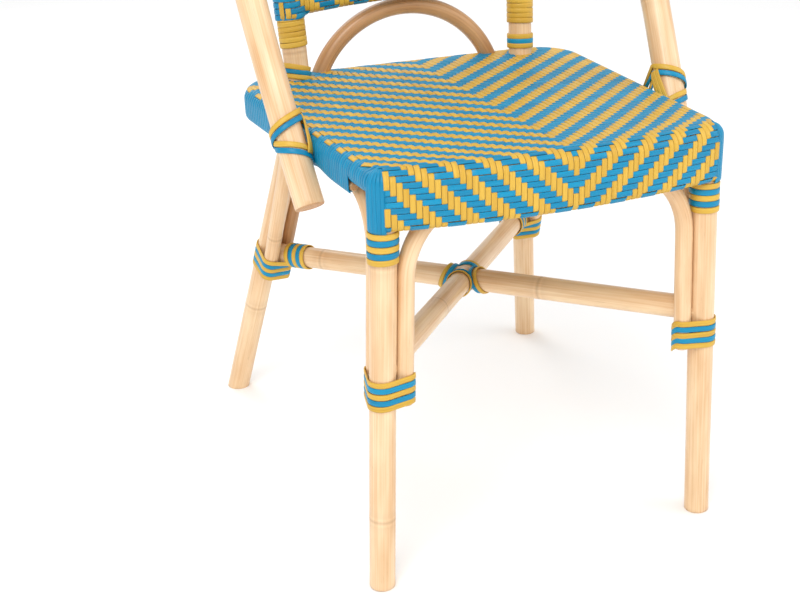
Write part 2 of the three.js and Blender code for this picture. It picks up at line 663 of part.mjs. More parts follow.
const postCutter = (side) => caneCutter(sided(REAR_PATH, side), REAR_LEG_RADIUS, THICK_SIDES);
const postCutters = () => [postCutter(-1), postCutter(1)];

// Half the panel's edge seen from the front, with the cane that the weave turns round.
function halfPanelEdge() {
  const spots = [];
  const postReach = REAR_LEG_RADIUS + WEAVE_ROOM;
  for (let i = 0; i < SIDE_STEPS; i += 1) {
    const x = (postAt(PANEL_BOTTOM).x - postReach) * (i / SIDE_STEPS);
    spots.push({ x, z: lowerEdgeZ(x), out: at(0, 0, -1), reach: LOWER_RAIL_RADIUS + WEAVE_ROOM });
  }
  const cornerZ = PANEL_BOTTOM + postReach + SKIN;
  for (let i = 0; i <= ROLL_STEPS; i += 1) {
    const turn = -QUARTER_TURN + (QUARTER_TURN * i) / ROLL_STEPS;
    const out = at(Math.cos(turn), 0, Math.sin(turn));
    const spot = at(postAt(cornerZ).x, 0, cornerZ).addScaledVector(out, postReach + SKIN);
    spots.push({ x: spot.x, z: spot.z, out, reach: postReach });
  }
  for (let i = 1; i <= WIDE_BEND_STEPS; i += 1) {
    const share = i / WIDE_BEND_STEPS;
    const turn = QUARTER_TURN * share;
    const out = at(Math.cos(turn), 0, Math.sin(turn));
    const slim = THREE.MathUtils.smoothstep(share, 0, TOP_RAIL_BLEND_SHARE);
    const reach = THREE.MathUtils.lerp(postReach, TOP_RAIL_RADIUS + WEAVE_ROOM, slim);
    const far = TOP_RAIL_BEND + reach + SKIN;
    spots.push({ x: out.x * far, z: TOP_RAIL_CENTRE + out.z * far, out, reach });
  }
  return spots;
}

// The panel's weave as a filled pillow; layer is what it adds outside the canes.
function panelPillow(layer) {
  const half = halfPanelEdge();
  const rings = [];
  const steps = ROLL_STEPS + ROLL_STEPS;
  for (let i = 0; i <= steps; i += 1) {
    const turn = -QUARTER_TURN + (Math.PI * i) / steps;
    const right = half.map((spot) => {
      const inset = SKIN + spot.reach - (spot.reach + layer) * Math.cos(turn);
      const x = spot.x - spot.out.x * inset;
      const z = spot.z - spot.out.z * inset;
      return at(x, panelY(z) + (spot.reach + layer) * Math.sin(turn), z);
    });
    rings.push([...right, ...mirrored(right).slice(1, -1).reverse()]);
  }
  return closedFromRings(rings, false);
}

const panelSkin = () => cut(panelPillow(SKIN), [panelPillow(0), ...postCutters(), ...hoopTieCutters()]);

// Bindings.

// A stick is a straight stretch of cane: a point on it, the way it runs and its radius.
const stick = (point, direction, radius) => ({ point, direction: direction.clone().normalize(), radius });

// Two ways square to an axis, to measure round it.
function roundAxis(axis) {
  const n = axis.clone().normalize();
  const hint = Math.abs(n.z) < Math.SQRT1_2 ? UP : ACROSS;
  const first = minus(hint, n.clone().multiplyScalar(hint.dot(n))).normalize();
  return { n, first, second: n.clone().cross(first) };
}

// Spots round every stick where a plane across the axis cuts it.
function slice(sticks, origin, frame, advance) {
  const spots = [];
  sticks.forEach((s) => {
    const { first, second } = roundAxis(s.direction);
    const slope = s.direction.dot(frame.n);
    for (let k = 0; k < SLICE_SPOTS; k += 1) {
      const turn = (FULL_TURN * k) / SLICE_SPOTS;
      const p = s.point.clone()
        .addScaledVector(first, Math.cos(turn) * s.radius)
        .addScaledVector(second, Math.sin(turn) * s.radius);
      const miss = advance - minus(p, origin).dot(frame.n);
      p.addScaledVector(s.direction, miss / slope).sub(origin);
      spots.push([p.dot(frame.first), p.dot(frame.second)]);
    }
  });
  return spots;
}

// The spot that lies farthest out one way.
function farthest(spots, turn) {
  const c = Math.cos(turn);
  const s = Math.sin(turn);
  return spots.reduce((best, p) => (p[0] * c + p[1] * s > best[0] * c + best[1] * s ? p : best));
}

// A flat band laid tight round the sticks as one closed ring.
function band(sticks, origin, axis, wide, room, thick) {
  const frame = roundAxis(axis);
  const half = wide / 2;
  const spots = [-half, half].flatMap((advance) => slice(sticks, origin, frame, advance));
  const ring = (reach, advance) => Array.from({ length: BAND_STEPS }, (_, k) => {
    const turn = (FULL_TURN * k) / BAND_STEPS;
    const [u, v] = farthest(spots, turn);
    return origin.clone()
      .addScaledVector(frame.first, u + Math.cos(turn) * reach)
      .addScaledVector(frame.second, v + Math.sin(turn) * reach)
      .addScaledVector(frame.n, advance);
  });
  const rings = [ring(room, -half), ring(room, half), ring(room + thick, half), ring(room + thick, -half)];
  return closedFromRings(rings, true);
}

// A strand wound round the sticks as one unbroken tube of a flat six-sided section.
function winding(name, sticks, origin, axis, loops, steps, dipAt = () => 0) {
  const frame = roundAxis(axis);
  const middle = BINDING_GAP + STRAND_THICK / 2;
  const half = STRAND_WIDE / 2;
  const flank = half - STRAND_EDGE;
  const deep = STRAND_THICK / 2;
  const section = [[half, 0], [flank, deep], [-flank, deep], [-half, 0], [-flank, -deep], [flank, -deep]];
  const rings = [];
  for (let i = 0; i <= loops * steps; i += 1) {
    const turn = (FULL_TURN * i) / steps;
    const advance = half + (STRAND_PITCH * i) / steps;
    const [u, v] = farthest(slice(sticks, origin, frame, advance), turn);
    const dip = dipAt(turn);
    rings.push(section.map(([along, out]) => origin.clone()
      .addScaledVector(frame.first, u + Math.cos(turn) * (middle + out))
      .addScaledVector(frame.second, v + Math.sin(turn) * (middle + out))
      .addScaledVector(frame.n, advance - dip + along)));
  }
  printLeastGap(name, rings, steps);
  return closedFromRings(rings, false);
}

// The least gap of a winding to itself, from each loop's points to the faces of the next.
function printLeastGap(name, rings, steps) {
  let least = Infinity;
  const near = Math.round(steps / 4);
  rings.forEach((ring, i) => {
    const from = Math.max(i + steps - near, 0);
    const to = Math.min(i + steps + near, rings.length - 1);
    for (let j = from; j <= to; j += 1) {
      ring.forEach((p) => rings[j].forEach((q) => {
        least = Math.min(least, p.distanceTo(q));
      }));
    }
  });
  const verdict = least > LEAST_GAP ? 'clear' : 'TOO SMALL';
  console.log(`${name}: least gap to itself ${least.toFixed(2)}, ${verdict}`);
}

const frontLegDown = at(FRONT_SPLAY_SHARE, 0, -1).normalize();
const frontLegStick = () => stick(frontLegAt(LOWER_LASH_HEIGHT), frontLegDown, FRONT_LEG_RADIUS);
const rearLegStick = () => stick(rearLegAt(REAR_LASH_HEIGHT), rearLegDown, REAR_LEG_RADIUS);

function endStick(path, radius) {
  return stick(path[0], minus(path[1], path[0]), radius);
}

const flipped = (p) => at(-p.x, p.y, p.z);
const flipStick = (s) => stick(flipped(s.point), flipped(s.direction), s.radius);
const sidedStick = (s, side) => (side < 0 ? flipStick(s) : s);
const sidedAt = (p, side) => at(side * p.x, p.y, p.z);

function topLash(name, side) {
  const leg = sidedStick(frontLegStick(), side);
  return winding(name, [leg], sidedAt(frontLegAt(TOP_LASH_HEIGHT), side), UP, LASH_LOOPS, LOOP_STEPS);
}

// The lash round a front leg and both brace ends dips to pass under the stretcher.
function lowerLash(name, side) {
  const sticks = [
    frontLegStick(),
    endStick(bothEnds(frontBracePath()), FRONT_BRACE_RADIUS),
    endStick(sideBracePath(), SIDE_BRACE_RADIUS),
  ].map((s) => sidedStick(s, side));
  const run = minus(stretcherPath(side)[1], stretcherPath(side)[0]);
  const toStretcher = Math.atan2(run.y, run.x);
  const dipAt = (turn) => LOWER_LASH_DIP * Math.max(Math.cos(turn - toStretcher), 0);
  const origin = sidedAt(frontLegAt(LOWER_LASH_HEIGHT), side);
  return winding(name, sticks, origin, UP, LASH_LOOPS, HULL_STEPS, dipAt);
}

// The end of a mirrored path that lies on the right.
const bothEnds = (points) => (points[0].x > 0 ? points : [...points].reverse());

function rearLash(side) {
  const sideEnd = [...sideBracePath()].reverse();
  const sticks = [
    rearLegStick(),
    endStick(bothEnds(rearBracePath()), REAR_BRACE_RADIUS),
    endStick(sideEnd, SIDE_BRACE_RADIUS),
  ].map((s) => sidedStick(s, side));
  const origin = sidedAt(rearLegAt(REAR_LASH_HEIGHT + REAR_LASH_TALL / 2), side);
  const ring = band(sticks, origin, UP, REAR_LASH_TALL, BINDING_GAP, FLAT_BAND_THICK);
  return cut(ring, stretcherCutters());
}

function stretcherTie(name, side) {
  const path = stretcherPath(-side);
  const back = minus(path[0], path[1]).normalize();
  const origin = path[1].clone().addScaledVector(back, TIE_FROM_LEG);
  return winding(name, [stick(origin, back, STRETCHER_RADIUS)], origin, back, LASH_LOOPS, LOOP_STEPS);
}

const postStick = (z) => stick(postAt(z), minus(postAt(z + SEAT_TOP), postAt(z)), REAR_LEG_RADIUS);

function postWrap(name, side) {
  const post = sidedStick(postStick(POST_WRAP_HEIGHT), side);
  return winding(name, [post], sidedAt(postAt(POST_WRAP_HEIGHT), side), post.direction, WRAP_LOOPS, LOOP_STEPS);
}

function postLash(side) {
  const post = sidedStick(postStick(POST_LASH_HEIGHT), side);
  const origin = sidedAt(postAt(POST_LASH_HEIGHT + POST_LASH_TALL / 2), side);
  return band([post], origin, post.direction, POST_LASH_TALL, BINDING_GAP, FLAT_BAND_THICK);
}

// Two bands that cross each other over the same sticks, joined where they cross.
function crossBands(sticks, origin, wide, play, grow) {
  const first = sticks[0].direction;
  const second = sticks[1].direction.clone().multiplyScalar(Math.sign(sticks[1].direction.dot(first)) || 1);
  const width = wide + grow + grow;
  const room = play - grow - grow;
  const thick = FLAT_BAND_THICK + grow + grow + grow;
  const step = FLAT_BAND_THICK - BAND_OVERLAP;
  const lean = (a, b) => sum(a, b.clone().multiplyScalar(CROSS_TILT_SHARE));
  const under = band(sticks, origin, lean(first, second), width, room, thick);
  const over = band(sticks, origin, lean(second, first), width, room + step, thick);
  return [under, over];
}

function joined(shapes) {
  return asGeometry(shapes.map(asSolid).reduce((a, b) => a.add(b)));
}

// The hoop is bound to the seat's rim, its lath and the side brace by a crossed lash.
function sideLashParts(side, grow) {
  const y = hoopY(RAIL_HEIGHT);
  const pass = HALF_HOOP[1].clone();
  const rising = minus(HALF_HOOP[2], HALF_HOOP[1]).normalize();
  const hoopPoint = pass.addScaledVector(rising, (RAIL_HEIGHT - pass.z) / rising.z);
  const run = at(SEAT_SIDE_FLARE_SHARE, 1, 0).normalize();
  const insetPoint = (inset, z) => at(seatSideX(y) - inset, y, z);
  const brace = insetPoint(BEHIND_LATH + SIDE_BRACE_RADIUS, BRACE_TOP_HEIGHT);
  const sticks = [
    stick(hoopPoint, rising, HOOP_RADIUS),
    stick(insetPoint(SEAT_EDGE_RADIUS, RAIL_HEIGHT), run, SEAT_EDGE_RADIUS),
    stick(insetPoint(LATH_INSET, RIM_LATH_HEIGHT), run, LATH_RADIUS + SKIN),
    stick(brace, run, SIDE_BRACE_RADIUS + GAP),
  ].map((s) => sidedStick(s, side));
  return crossBands(sticks, sidedAt(hoopPoint, side), SIDE_LASH_WIDE, BINDING_GAP, grow);
}

const sideLash = (side) => joined(sideLashParts(side, 0));
const sideLashCutters = () => [-1, 1].flatMap((side) => sideLashParts(side, GAP));

function crossingLash() {
  const [a, b] = [-1, 1].map((side) => {
    const path = stretcherPath(side);
    return stick(CROSSING, minus(path[1], path[0]), STRETCHER_RADIUS);
  });
  return joined(crossBands([a, b], CROSSING, CROSSING_LASH_WIDE, TIE_ROOM, 0));
}

// The hoop is tied to the panel's top rail; the tie passes through the weave.
function hoopTie(x, grow) {
  const lean = Math.asin(x / TOP_RAIL_BEND);
  const railZ = TOP_RAIL_CENTRE + TOP_RAIL_BEND * Math.cos(lean);
  const rail = at(x, panelY(railZ), railZ);
  const tangent = at(Math.cos(lean), -POST_BACK_SHARE * Math.sin(lean), -Math.sin(lean)).normalize();
  const fromHoopCentre = Math.atan2(x, railZ - HOOP_SPRING_HEIGHT);
  const hoopZ = HOOP_SPRING_HEIGHT + HOOP_HALF * Math.cos(fromHoopCentre);
  const hoopPoint = at(HOOP_HALF * Math.sin(fromHoopCentre), hoopY(hoopZ), hoopZ);
  const drop = Math.sin(fromHoopCentre);
  const hoopTangent = at(Math.cos(fromHoopCentre), -HOOP_BACK_SHARE * drop, -drop);
  const sticks = [
    stick(rail, tangent, TOP_RAIL_RADIUS + WEAVE_ROOM + SKIN),
    stick(hoopPoint, hoopTangent, HOOP_RADIUS),
  ];
  return band(sticks, rail, tangent, HOOP_TIE_WIDE + grow + grow, TIE_ROOM - grow, FLAT_BAND_THICK + grow + grow);
}

const TIE_PLACES = [-HOOP_TIE_SPREAD, 0, HOOP_TIE_SPREAD];
const hoopTieCutters = () => TIE_PLACES.map((x) => hoopTie(x, GAP));

// Assembly.

const chair = new THREE.Group();
chair.name = 'rattan_bistro_chair';

function place(name, geometry, finish) {
  const finished = geometry.index ? geometry : mergeVertices(geometry);
  finished.computeVertexNormals();
  const mesh = new THREE.Mesh(finished, new THREE.MeshStandardMaterial(finish));
  mesh.name = name;
  chair.add(mesh);
}

place('front_rail', frontRail(), RATTAN);
place('seat_rim_cane', seatRim(), RATTAN);
place('front_apron_lath', frontLath(), RATTAN);
place('rim_apron_lath', rimLath(), RATTAN);
place('front_brace', frontBrace(), RATTAN);
place('rear_brace', rearBrace(), RATTAN);
place('back_hoop', hoop(), RATTAN);
place('rear_arch', rearArch(), RATTAN_DARK);
place('panel_top_rail', topRail(), RATTAN);
place('panel_lower_rail', lowerRail(), RATTAN);
place('seat_weave', seatSkin(), YELLOW);
place('panel_weave', panelSkin(), YELLOW);
place('crossing_lash', crossingLash(), YELLOW);

[['left', -1], ['right', 1]].forEach(([word, side]) => {
  place(`front_leg_${word}`, frontLeg(side), RATTAN);
  place(`rear_leg_${word}`, rearLeg(side), RATTAN);
  place(`side_brace_${word}`, sideBrace(side), RATTAN);
  place(`stretcher_${word}`, stretcher(side), RATTAN);
  place(`front_top_lash_${word}`, topLash(`front_top_lash_${word}`, side), YELLOW);
  place(`front_lower_lash_${word}`, lowerLash(`front_lower_lash_${word}`, side), BLUE);
  place(`rear_lash_${word}`, rearLash(side), BLUE);
  place(`stretcher_tie_${word}`, stretcherTie(`stretcher_tie_${word}`, side), YELLOW);
  place(`post_wrap_${word}`, postWrap(`post_wrap_${word}`, side), YELLOW);
  place(`post_lash_${word}`, postLash(side), BLUE);
  place(`side_lash_${word}`, sideLash(side), YELLOW);
});

['left', 'centre', 'right'].forEach((word, i) => place(`hoop_tie_${word}`, hoopTie(TIE_PLACES[i], 0), BLUE));

const middle = new THREE.Box3().setFromObject(chair).getCenter(new THREE.Vector3());
chair.position.y = -middle.y;

export default chair;
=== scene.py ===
import math
import bpy
import numpy as np
from mathutils import Matrix, Vector


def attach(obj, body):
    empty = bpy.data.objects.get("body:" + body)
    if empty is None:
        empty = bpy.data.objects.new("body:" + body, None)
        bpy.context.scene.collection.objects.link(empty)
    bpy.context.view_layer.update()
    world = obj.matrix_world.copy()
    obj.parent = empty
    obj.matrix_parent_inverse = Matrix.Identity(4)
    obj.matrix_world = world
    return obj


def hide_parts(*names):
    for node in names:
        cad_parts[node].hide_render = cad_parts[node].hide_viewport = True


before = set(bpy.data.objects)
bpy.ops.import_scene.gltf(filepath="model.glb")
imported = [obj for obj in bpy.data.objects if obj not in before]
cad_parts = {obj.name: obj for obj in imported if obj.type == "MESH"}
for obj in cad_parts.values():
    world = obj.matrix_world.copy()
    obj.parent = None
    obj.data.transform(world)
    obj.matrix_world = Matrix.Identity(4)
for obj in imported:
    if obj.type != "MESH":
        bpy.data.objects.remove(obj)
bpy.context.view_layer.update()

# Legs. Two straight front legs and two rear legs that are bent once at the seat and
# go on above it as the back's posts, all of peeled rattan cane under clear varnish.
# Their square-cut ends stand on the floor.

# Lengths are in millimetres, with Y counted from the seat. BACK_SHIFT moves them to
# the frame's origin.
BACK_SHIFT = -61.1476
MM = 0.001
TAU = 2.0 * math.pi


def vec(*values):
    return np.array(values, dtype=float)


def unit(v):
    v = np.asarray(v, dtype=float)
    return v / np.maximum(np.linalg.norm(v, axis=-1, keepdims=True), 1e-9)


def to_frame(points):
    """Millimetre points as metres in the frame's axes."""
    return (np.asarray(points, dtype=float) + (0.0, BACK_SHIFT, 0.0)) * MM


class Tone:
    """A node socket that can be added, scaled and mixed like a number."""

    tree = None

    def __init__(self, socket):
        self.socket = socket

    @classmethod
    def node(cls, kind, inputs=None, output=0, stops=(), **settings):
        """A node of a kind, with its settings made first and its sockets fed after."""
        made = cls.tree.nodes.new(kind)
        for key, value in settings.items():
            setattr(made, key, value)
        for place in range(len(stops) - 2):
            made.color_ramp.elements.new(0.5)
        for number, (place, colour) in enumerate(stops):
            made.color_ramp.elements[number].position = place
            rgb = colour if len(colour) == 3 else colour * 3
            made.color_ramp.elements[number].color = (*rgb, 1.0)
        for key, value in (inputs or {}).items():
            if isinstance(value, Tone):
                cls.tree.links.new(value.socket, made.inputs[key])
            else:
                made.inputs[key].default_value = value
        return cls(made.outputs[output])

    def math(self, operation, other=0.0):
        return Tone.node("ShaderNodeMath", {0: self, 1: other}, operation=operation)

    def __add__(self, other):
        return self.math("ADD", other)

    def __mul__(self, other):
        return self.math("MULTIPLY", other)

    def __sub__(self, other):
        return self.math("SUBTRACT", other)

    def __rsub__(self, other):
        return Tone.node("ShaderNodeMath", {0: other, 1: self}, operation="SUBTRACT")

    __radd__ = __add__
    __rmul__ = __mul__

    def part(self, axis):
        """The X, Y or Z of a vector."""
        return Tone.node("ShaderNodeSeparateXYZ", {0: self}, axis)

    def ramp(self, *stops):
        """Colours or greys along the value from 0 to 1."""
        return Tone.node("ShaderNodeValToRGB", {0: self}, stops=stops)

    def mix(self, low, high):
        """The low colour where the value is 0 and the high one where it is 1."""
        return Tone.node("ShaderNodeMix", {0: self, 6: low, 7: high}, 2, data_type="RGBA")


def linear(code):
    """A hex colour as linear red, green and blue."""
    parts = [int(code[i:i + 2], 16) / 255.0 for i in (0, 2, 4)]
    return tuple(c / 12.92 if c <= 0.04045 else ((c + 0.055) / 1.055) ** 2.4 for c in parts)


def new_material(name, roughness, specular, coat=0.0):
    material = bpy.data.materials.new(name)
    material.use_nodes = True
    Tone.tree = material.node_tree
    shader = material.node_tree.nodes["Principled BSDF"]
    values = {"Roughness": roughness, "Specular IOR Level": specular}
    values.update({"Coat Weight": coat, "Coat Roughness": 0.25})
    for key, value in values.items():
        shader.inputs[key].default_value = value
    return material, shader


def feed(shader, **tones):
    for key, tone in tones.items():
        Tone.tree.links.new(tone.socket, shader.inputs[key.replace("_", " ")])


def measure(name, output=2):
    """A number that the mesh carries, such as the length along a cane, or a vector at output 1."""
    return Tone.node("ShaderNodeAttribute", output=output, attribute_name=name)


def noise(vector, scale, detail=3.0, rough=0.5):
    inputs = {"Vector": vector, "Scale": scale, "Detail": detail, "Roughness": rough}
    return Tone.node("ShaderNodeTexNoise", inputs)


def bump(height, strength, distance):
    return Tone.node("ShaderNodeBump", {"Height": height, "Strength": strength, "Distance": distance})


def triple(x, y, z):
    return Tone.node("ShaderNodeCombineXYZ", {0: x, 1: y, 2: z})


def cane_material(name, pale, deep, ring_colour):
    """Varnished cane: long fibres, dark flecks, a ring at each node and pores on a cut end."""
    material, shader = new_material(name, 0.4, 0.45, 0.25)
    grain = measure("grain", 1)
    x, y, length = (grain.part(axis) for axis in range(3))
    fibre = noise(triple(x * 0.55, y * 0.55, length * 0.006), 1.0, 4.0, 0.6)
    cloud = noise(triple(x * 0.06, y * 0.06, length * 0.012), 1.0, 2.0)
    fleck = noise(triple(x * 1.4, y * 1.4, length * 0.05), 1.0, 2.0, 0.7)
    share = (fibre * 0.75 + cloud * 0.75 - 0.28).ramp((0.2, pale), (0.8, deep))
    flecked = fleck.ramp((0.66, (0.0,)), (0.78, (0.45,)))
    toned = flecked.mix(share, (*ring_colour, 1.0))
    stops = ((0.0, (0.3,)), (0.09, (0.12,)), (0.16, (0.0,)), (0.3, (0.08,)), (0.75, (0.0,)))
    band = measure("ring").ramp(*stops)
    end = measure("cut")
    pores = noise(grain, 1.6, 2.0).ramp((0.45, (0.0,)), (0.62, (0.6,)))
    raw = pores.mix((*deep, 1.0), (*ring_colour, 1.0))
    colour = end.mix(band.mix(toned, (*ring_colour, 1.0)), raw)
    height = fibre * 0.6 + fleck * 0.25 - band * 0.5
    rough = fibre * 0.2 + end * 0.3 + 0.27
    feed(shader, Base_Color=colour, Roughness=rough, Normal=bump(height, 0.14, 0.0006))
    return material


CANE = cane_material("polished_cane", linear("F2D6AE"), linear("D2A06C"), linear("8A5A34"))


class Batch:
    """Several swept pieces gathered in one mesh. Every vertex keeps its place in its piece."""

    def __init__(self):
        self.points, self.faces, self.grain, self.ring, self.piece, self.cut = [], [], [], [], [], []
        self.count = 0

    def sweep(self, rings, grain, ring=None, piece=0.0, closed=False, end_rings=0):
        """rings is (steps, sides, 3); grain is the same shape."""
        steps, sides = rings.shape[:2]
        index = np.arange(steps * sides).reshape(steps, sides) + self.count
        after = np.roll(index, -1, axis=0) if closed else index[1:]
        before = index if closed else index[:-1]
        quads = np.stack([before, np.roll(before, -1, 1), np.roll(after, -1, 1), after], axis=-1)
        cut = np.zeros(steps)
        if end_rings:
            cut[:end_rings] = 1.0
            cut[-end_rings:] = 1.0
        self.faces.append(quads.reshape(-1, 4))
        self.points.append(rings.reshape(-1, 3))
        self.grain.append(grain.reshape(-1, 3))
        self.ring.append(np.repeat(np.ones(steps) if ring is None else ring, sides))
        self.piece.append(np.full(steps * sides, piece))
        self.cut.append(np.repeat(cut, sides))
        self.count += steps * sides

    def build(self, name, material, nodes=()):
        points = to_frame(np.concatenate(self.points))
        faces = np.concatenate(self.faces).astype(np.int32)
        mesh = bpy.data.meshes.new(name)
        mesh.vertices.add(len(points))
        mesh.vertices.foreach_set("co", points.ravel())
        mesh.loops.add(faces.size)
        mesh.loops.foreach_set("vertex_index", faces.ravel())
        mesh.polygons.add(len(faces))
        mesh.polygons.foreach_set("loop_start", np.arange(0, faces.size, 4, dtype=np.int32))
        mesh.update(calc_edges=True)
        mesh.polygons.foreach_set("use_smooth", np.full(len(faces), True))
        grain = mesh.attributes.new("grain", "FLOAT_VECTOR", "POINT")
        grain.data.foreach_set("vector", np.concatenate(self.grain).ravel())
        for key, values in (("ring", self.ring), ("piece", self.piece), ("cut", self.cut)):
            made = mesh.attributes.new(key, "FLOAT", "POINT")
            made.data.foreach_set("value", np.concatenate(values))
        mesh.materials.append(material)
        thing = bpy.data.objects.new(name, mesh)
        bpy.context.scene.collection.objects.link(thing)
        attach(thing, "root")
        if nodes:
            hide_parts(*nodes)


def lengths_along(points):
    return np.concatenate([[0.0], np.cumsum(np.linalg.norm(np.diff(points, axis=0), axis=1))])


def at_lengths(points, lengths, places):
    return np.stack([np.interp(places, lengths, points[:, k]) for k in range(3)], axis=1)


def evenly(points, step):
    """The same path with points a step apart."""
    points = np.asarray(points, dtype=float)
    apart = np.linalg.norm(np.diff(points, axis=0), axis=1) > 1e-6
    points = points[np.concatenate([[True], apart])]
    lengths = lengths_along(points)
    count = max(int(round(lengths[-1] / step)), 2)
    return at_lengths(points, lengths, np.linspace(0.0, lengths[-1], count + 1))


def ahead_of(points, closed=False):
    if closed:
        return unit(np.roll(points, -1, 0) - np.roll(points, 1, 0))
    return unit(np.gradient(points, axis=0))


def carried_frame(points):
    """Two directions square to the path that turn with it and don't twist."""
    ahead = ahead_of(points)
    current = vec(1, 0, 0) if abs(ahead[0, 0]) < 0.8 else vec(0, 0, 1)
    side = np.empty_like(points)
    for i, way in enumerate(ahead):
        current = unit(current - way * np.dot(current, way))
        side[i] = current
    return side, np.cross(ahead, side)


def rounded_path(corners, bends, pieces=24):
    """Straight lines whose corners are rounded to the given bends."""
    corners = [np.asarray(c, dtype=float) for c in corners]
    points = [corners[0]]
    for corner, before, after, bend in zip(corners[1:-1], corners[:-2], corners[2:], bends):
        back, onward = unit(before - corner), unit(after - corner)
        half = math.acos(np.clip(np.dot(back, onward), -1, 1)) / 2.0
        reach = bend / math.tan(half)
        middle = corner + unit(back + onward) * bend / math.sin(half)
        start = corner + back * reach - middle
        finish = corner + onward * reach - middle
        turn = math.acos(np.clip(np.dot(unit(start), unit(finish)), -1, 1))
        for share in np.linspace(0.0, 1.0, pieces + 1):
            mixed = (math.sin((1 - share) * turn) * start + math.sin(share * turn) * finish) / math.sin(turn)
            points.append(middle + mixed)
    points.append(corners[-1])
    return np.array(points)


CANE_SIDES, CANE_STEP, END_BEVEL = 36, 5.0, 0.9
NODE_SPACING, FIRST_NODE, LAST_NODE, SHORT_CANE = (230.0, 380.0), 30.0, 25.0, 300.0
NODE_GROOVE = (-2.2, -0.8, 0.0, 0.8, 2.2)
NODE_FADE, NO_NODE, GRAIN_OFFSET = 20.0, 99.0, 997.0
CAP_SHARES = (0.03, 0.5)
THINNED, WAVES = 0.992, ((0.006, 71.0, 1), (0.004, 29.0, 2))
NODE_SHAPE = ((0.016, 4.0), (-0.012, 0.7))


def node_places(length, rng):
    """Where a cane has its node rings. A short one is cut from between two nodes."""
    places, place = [], rng.uniform(FIRST_NODE, NODE_SPACING[0])
    while place < length - LAST_NODE and length > SHORT_CANE:
        places.append(place)
        place += rng.uniform(*NODE_SPACING)
    return places


def cane(name, path, radius, nodes, material=CANE, seed=1, floor=False):
    """A round, slightly uneven cane with node rings and square-cut, bevelled ends."""
    path = evenly(path, CANE_STEP)
    coarse = lengths_along(path)
    places = node_places(coarse[-1], np.random.default_rng(seed))
    grooves = [place + offset for place in places for offset in NODE_GROOVE]
    lengths = np.unique(np.round(np.concatenate([coarse, grooves]), 3))
    path = at_lengths(path, coarse, lengths)
    near = np.min([np.abs(lengths - p) for p in places], axis=0) if places else np.full(len(path), NO_NODE)
    side, up = carried_frame(path)
    ahead = ahead_of(path)
    wave = sum(deep * np.sin(lengths / run + k * seed) for deep, run, k in WAVES)
    swell = sum(high * np.exp(-((near / wide) ** 2)) for high, wide in NODE_SHAPE)
    sizes = radius * (THINNED + wave + swell)
    cap = np.array((*CAP_SHARES, 1.0 - END_BEVEL / radius))
    first, last = path[:1], path[-1:]
    centres = [first, first, first, first + ahead[:1] * END_BEVEL, path[1:-1]]
    centres = np.concatenate(centres + [last - ahead[-1:] * END_BEVEL, last, last, last])
    scale = np.concatenate([sizes[0] * cap, sizes, sizes[-1] * cap[::-1]])
    pick = np.concatenate([[0, 0, 0], np.arange(len(path)), [-1, -1, -1]])
    turn = np.linspace(0.0, TAU, CANE_SIDES, endpoint=False)
    cos, sin = np.cos(turn)[None, :], np.sin(turn)[None, :]
    out = cos[..., None] * side[pick][:, None, :] + sin[..., None] * up[pick][:, None, :]
    rings = centres[:, None, :] + out * scale[:, None, None]
    if floor:
        below = np.minimum(rings[..., 2], 0.0)
        rings = rings - (below / ahead[0][2])[..., None] * ahead[0]
    far = np.repeat(lengths[pick][:, None] + GRAIN_OFFSET * seed, CANE_SIDES, 1)
    grain = np.stack([cos * scale[:, None], sin * scale[:, None], far], axis=-1)
    batch = Batch()
    batch.sweep(rings, grain, ring=np.minimum(near[pick] / NODE_FADE, 1.0), piece=seed, end_rings=3)
    batch.build(name, material, nodes)


def mirror(path):
    return np.asarray(path) * (-1.0, 1.0, 1.0)


def on_side(path, side):
    return mirror(path) if side < 0 else np.asarray(path)


SIDES = (("left", -1), ("right", 1))
FRONT_RADIUS, FRONT_FOOT, FRONT_LEAN, FRONT_LEG_TOP = 13.5, (188.5, -186.0), 0.042, 441.0
REAR_RADIUS, REAR_FOOT, REAR_LEAN = 14.25, (219.0, 329.5), (0.18, 0.335)
REAR_DOWN = unit(vec(*REAR_LEAN, -1.0))
KNEE, KNEE_BEND, POST_TOP = 427.0, 110.0, 697.0
POST_SLOPE = vec(0.036, 0.1024, 1.0)
CUT_AT_FLOOR = -8.0


def front_leg_at(z):
    return vec(FRONT_FOOT[0] - FRONT_LEAN * z, FRONT_FOOT[1], z)


def rear_leg_at(z):
    return vec(REAR_FOOT[0] - REAR_LEAN[0] * z, REAR_FOOT[1] - REAR_LEAN[1] * z, z)


def post_at(z):
    return rear_leg_at(KNEE) + POST_SLOPE * (z - KNEE)


rear_path = rounded_path([rear_leg_at(CUT_AT_FLOOR), rear_leg_at(KNEE), post_at(POST_TOP)], [KNEE_BEND])
for word, side in SIDES:
    path = on_side([front_leg_at(0.0), front_leg_at(FRONT_LEG_TOP)], side)
    cane(f"front_leg_cane_{word}", path, FRONT_RADIUS, [f"front_leg_{word}"], seed=3 + side, floor=True)
    path = on_side(rear_path, side)
    cane(f"rear_leg_cane_{word}", path, REAR_RADIUS, [f"rear_leg_{word}"], seed=8 + side, floor=True)


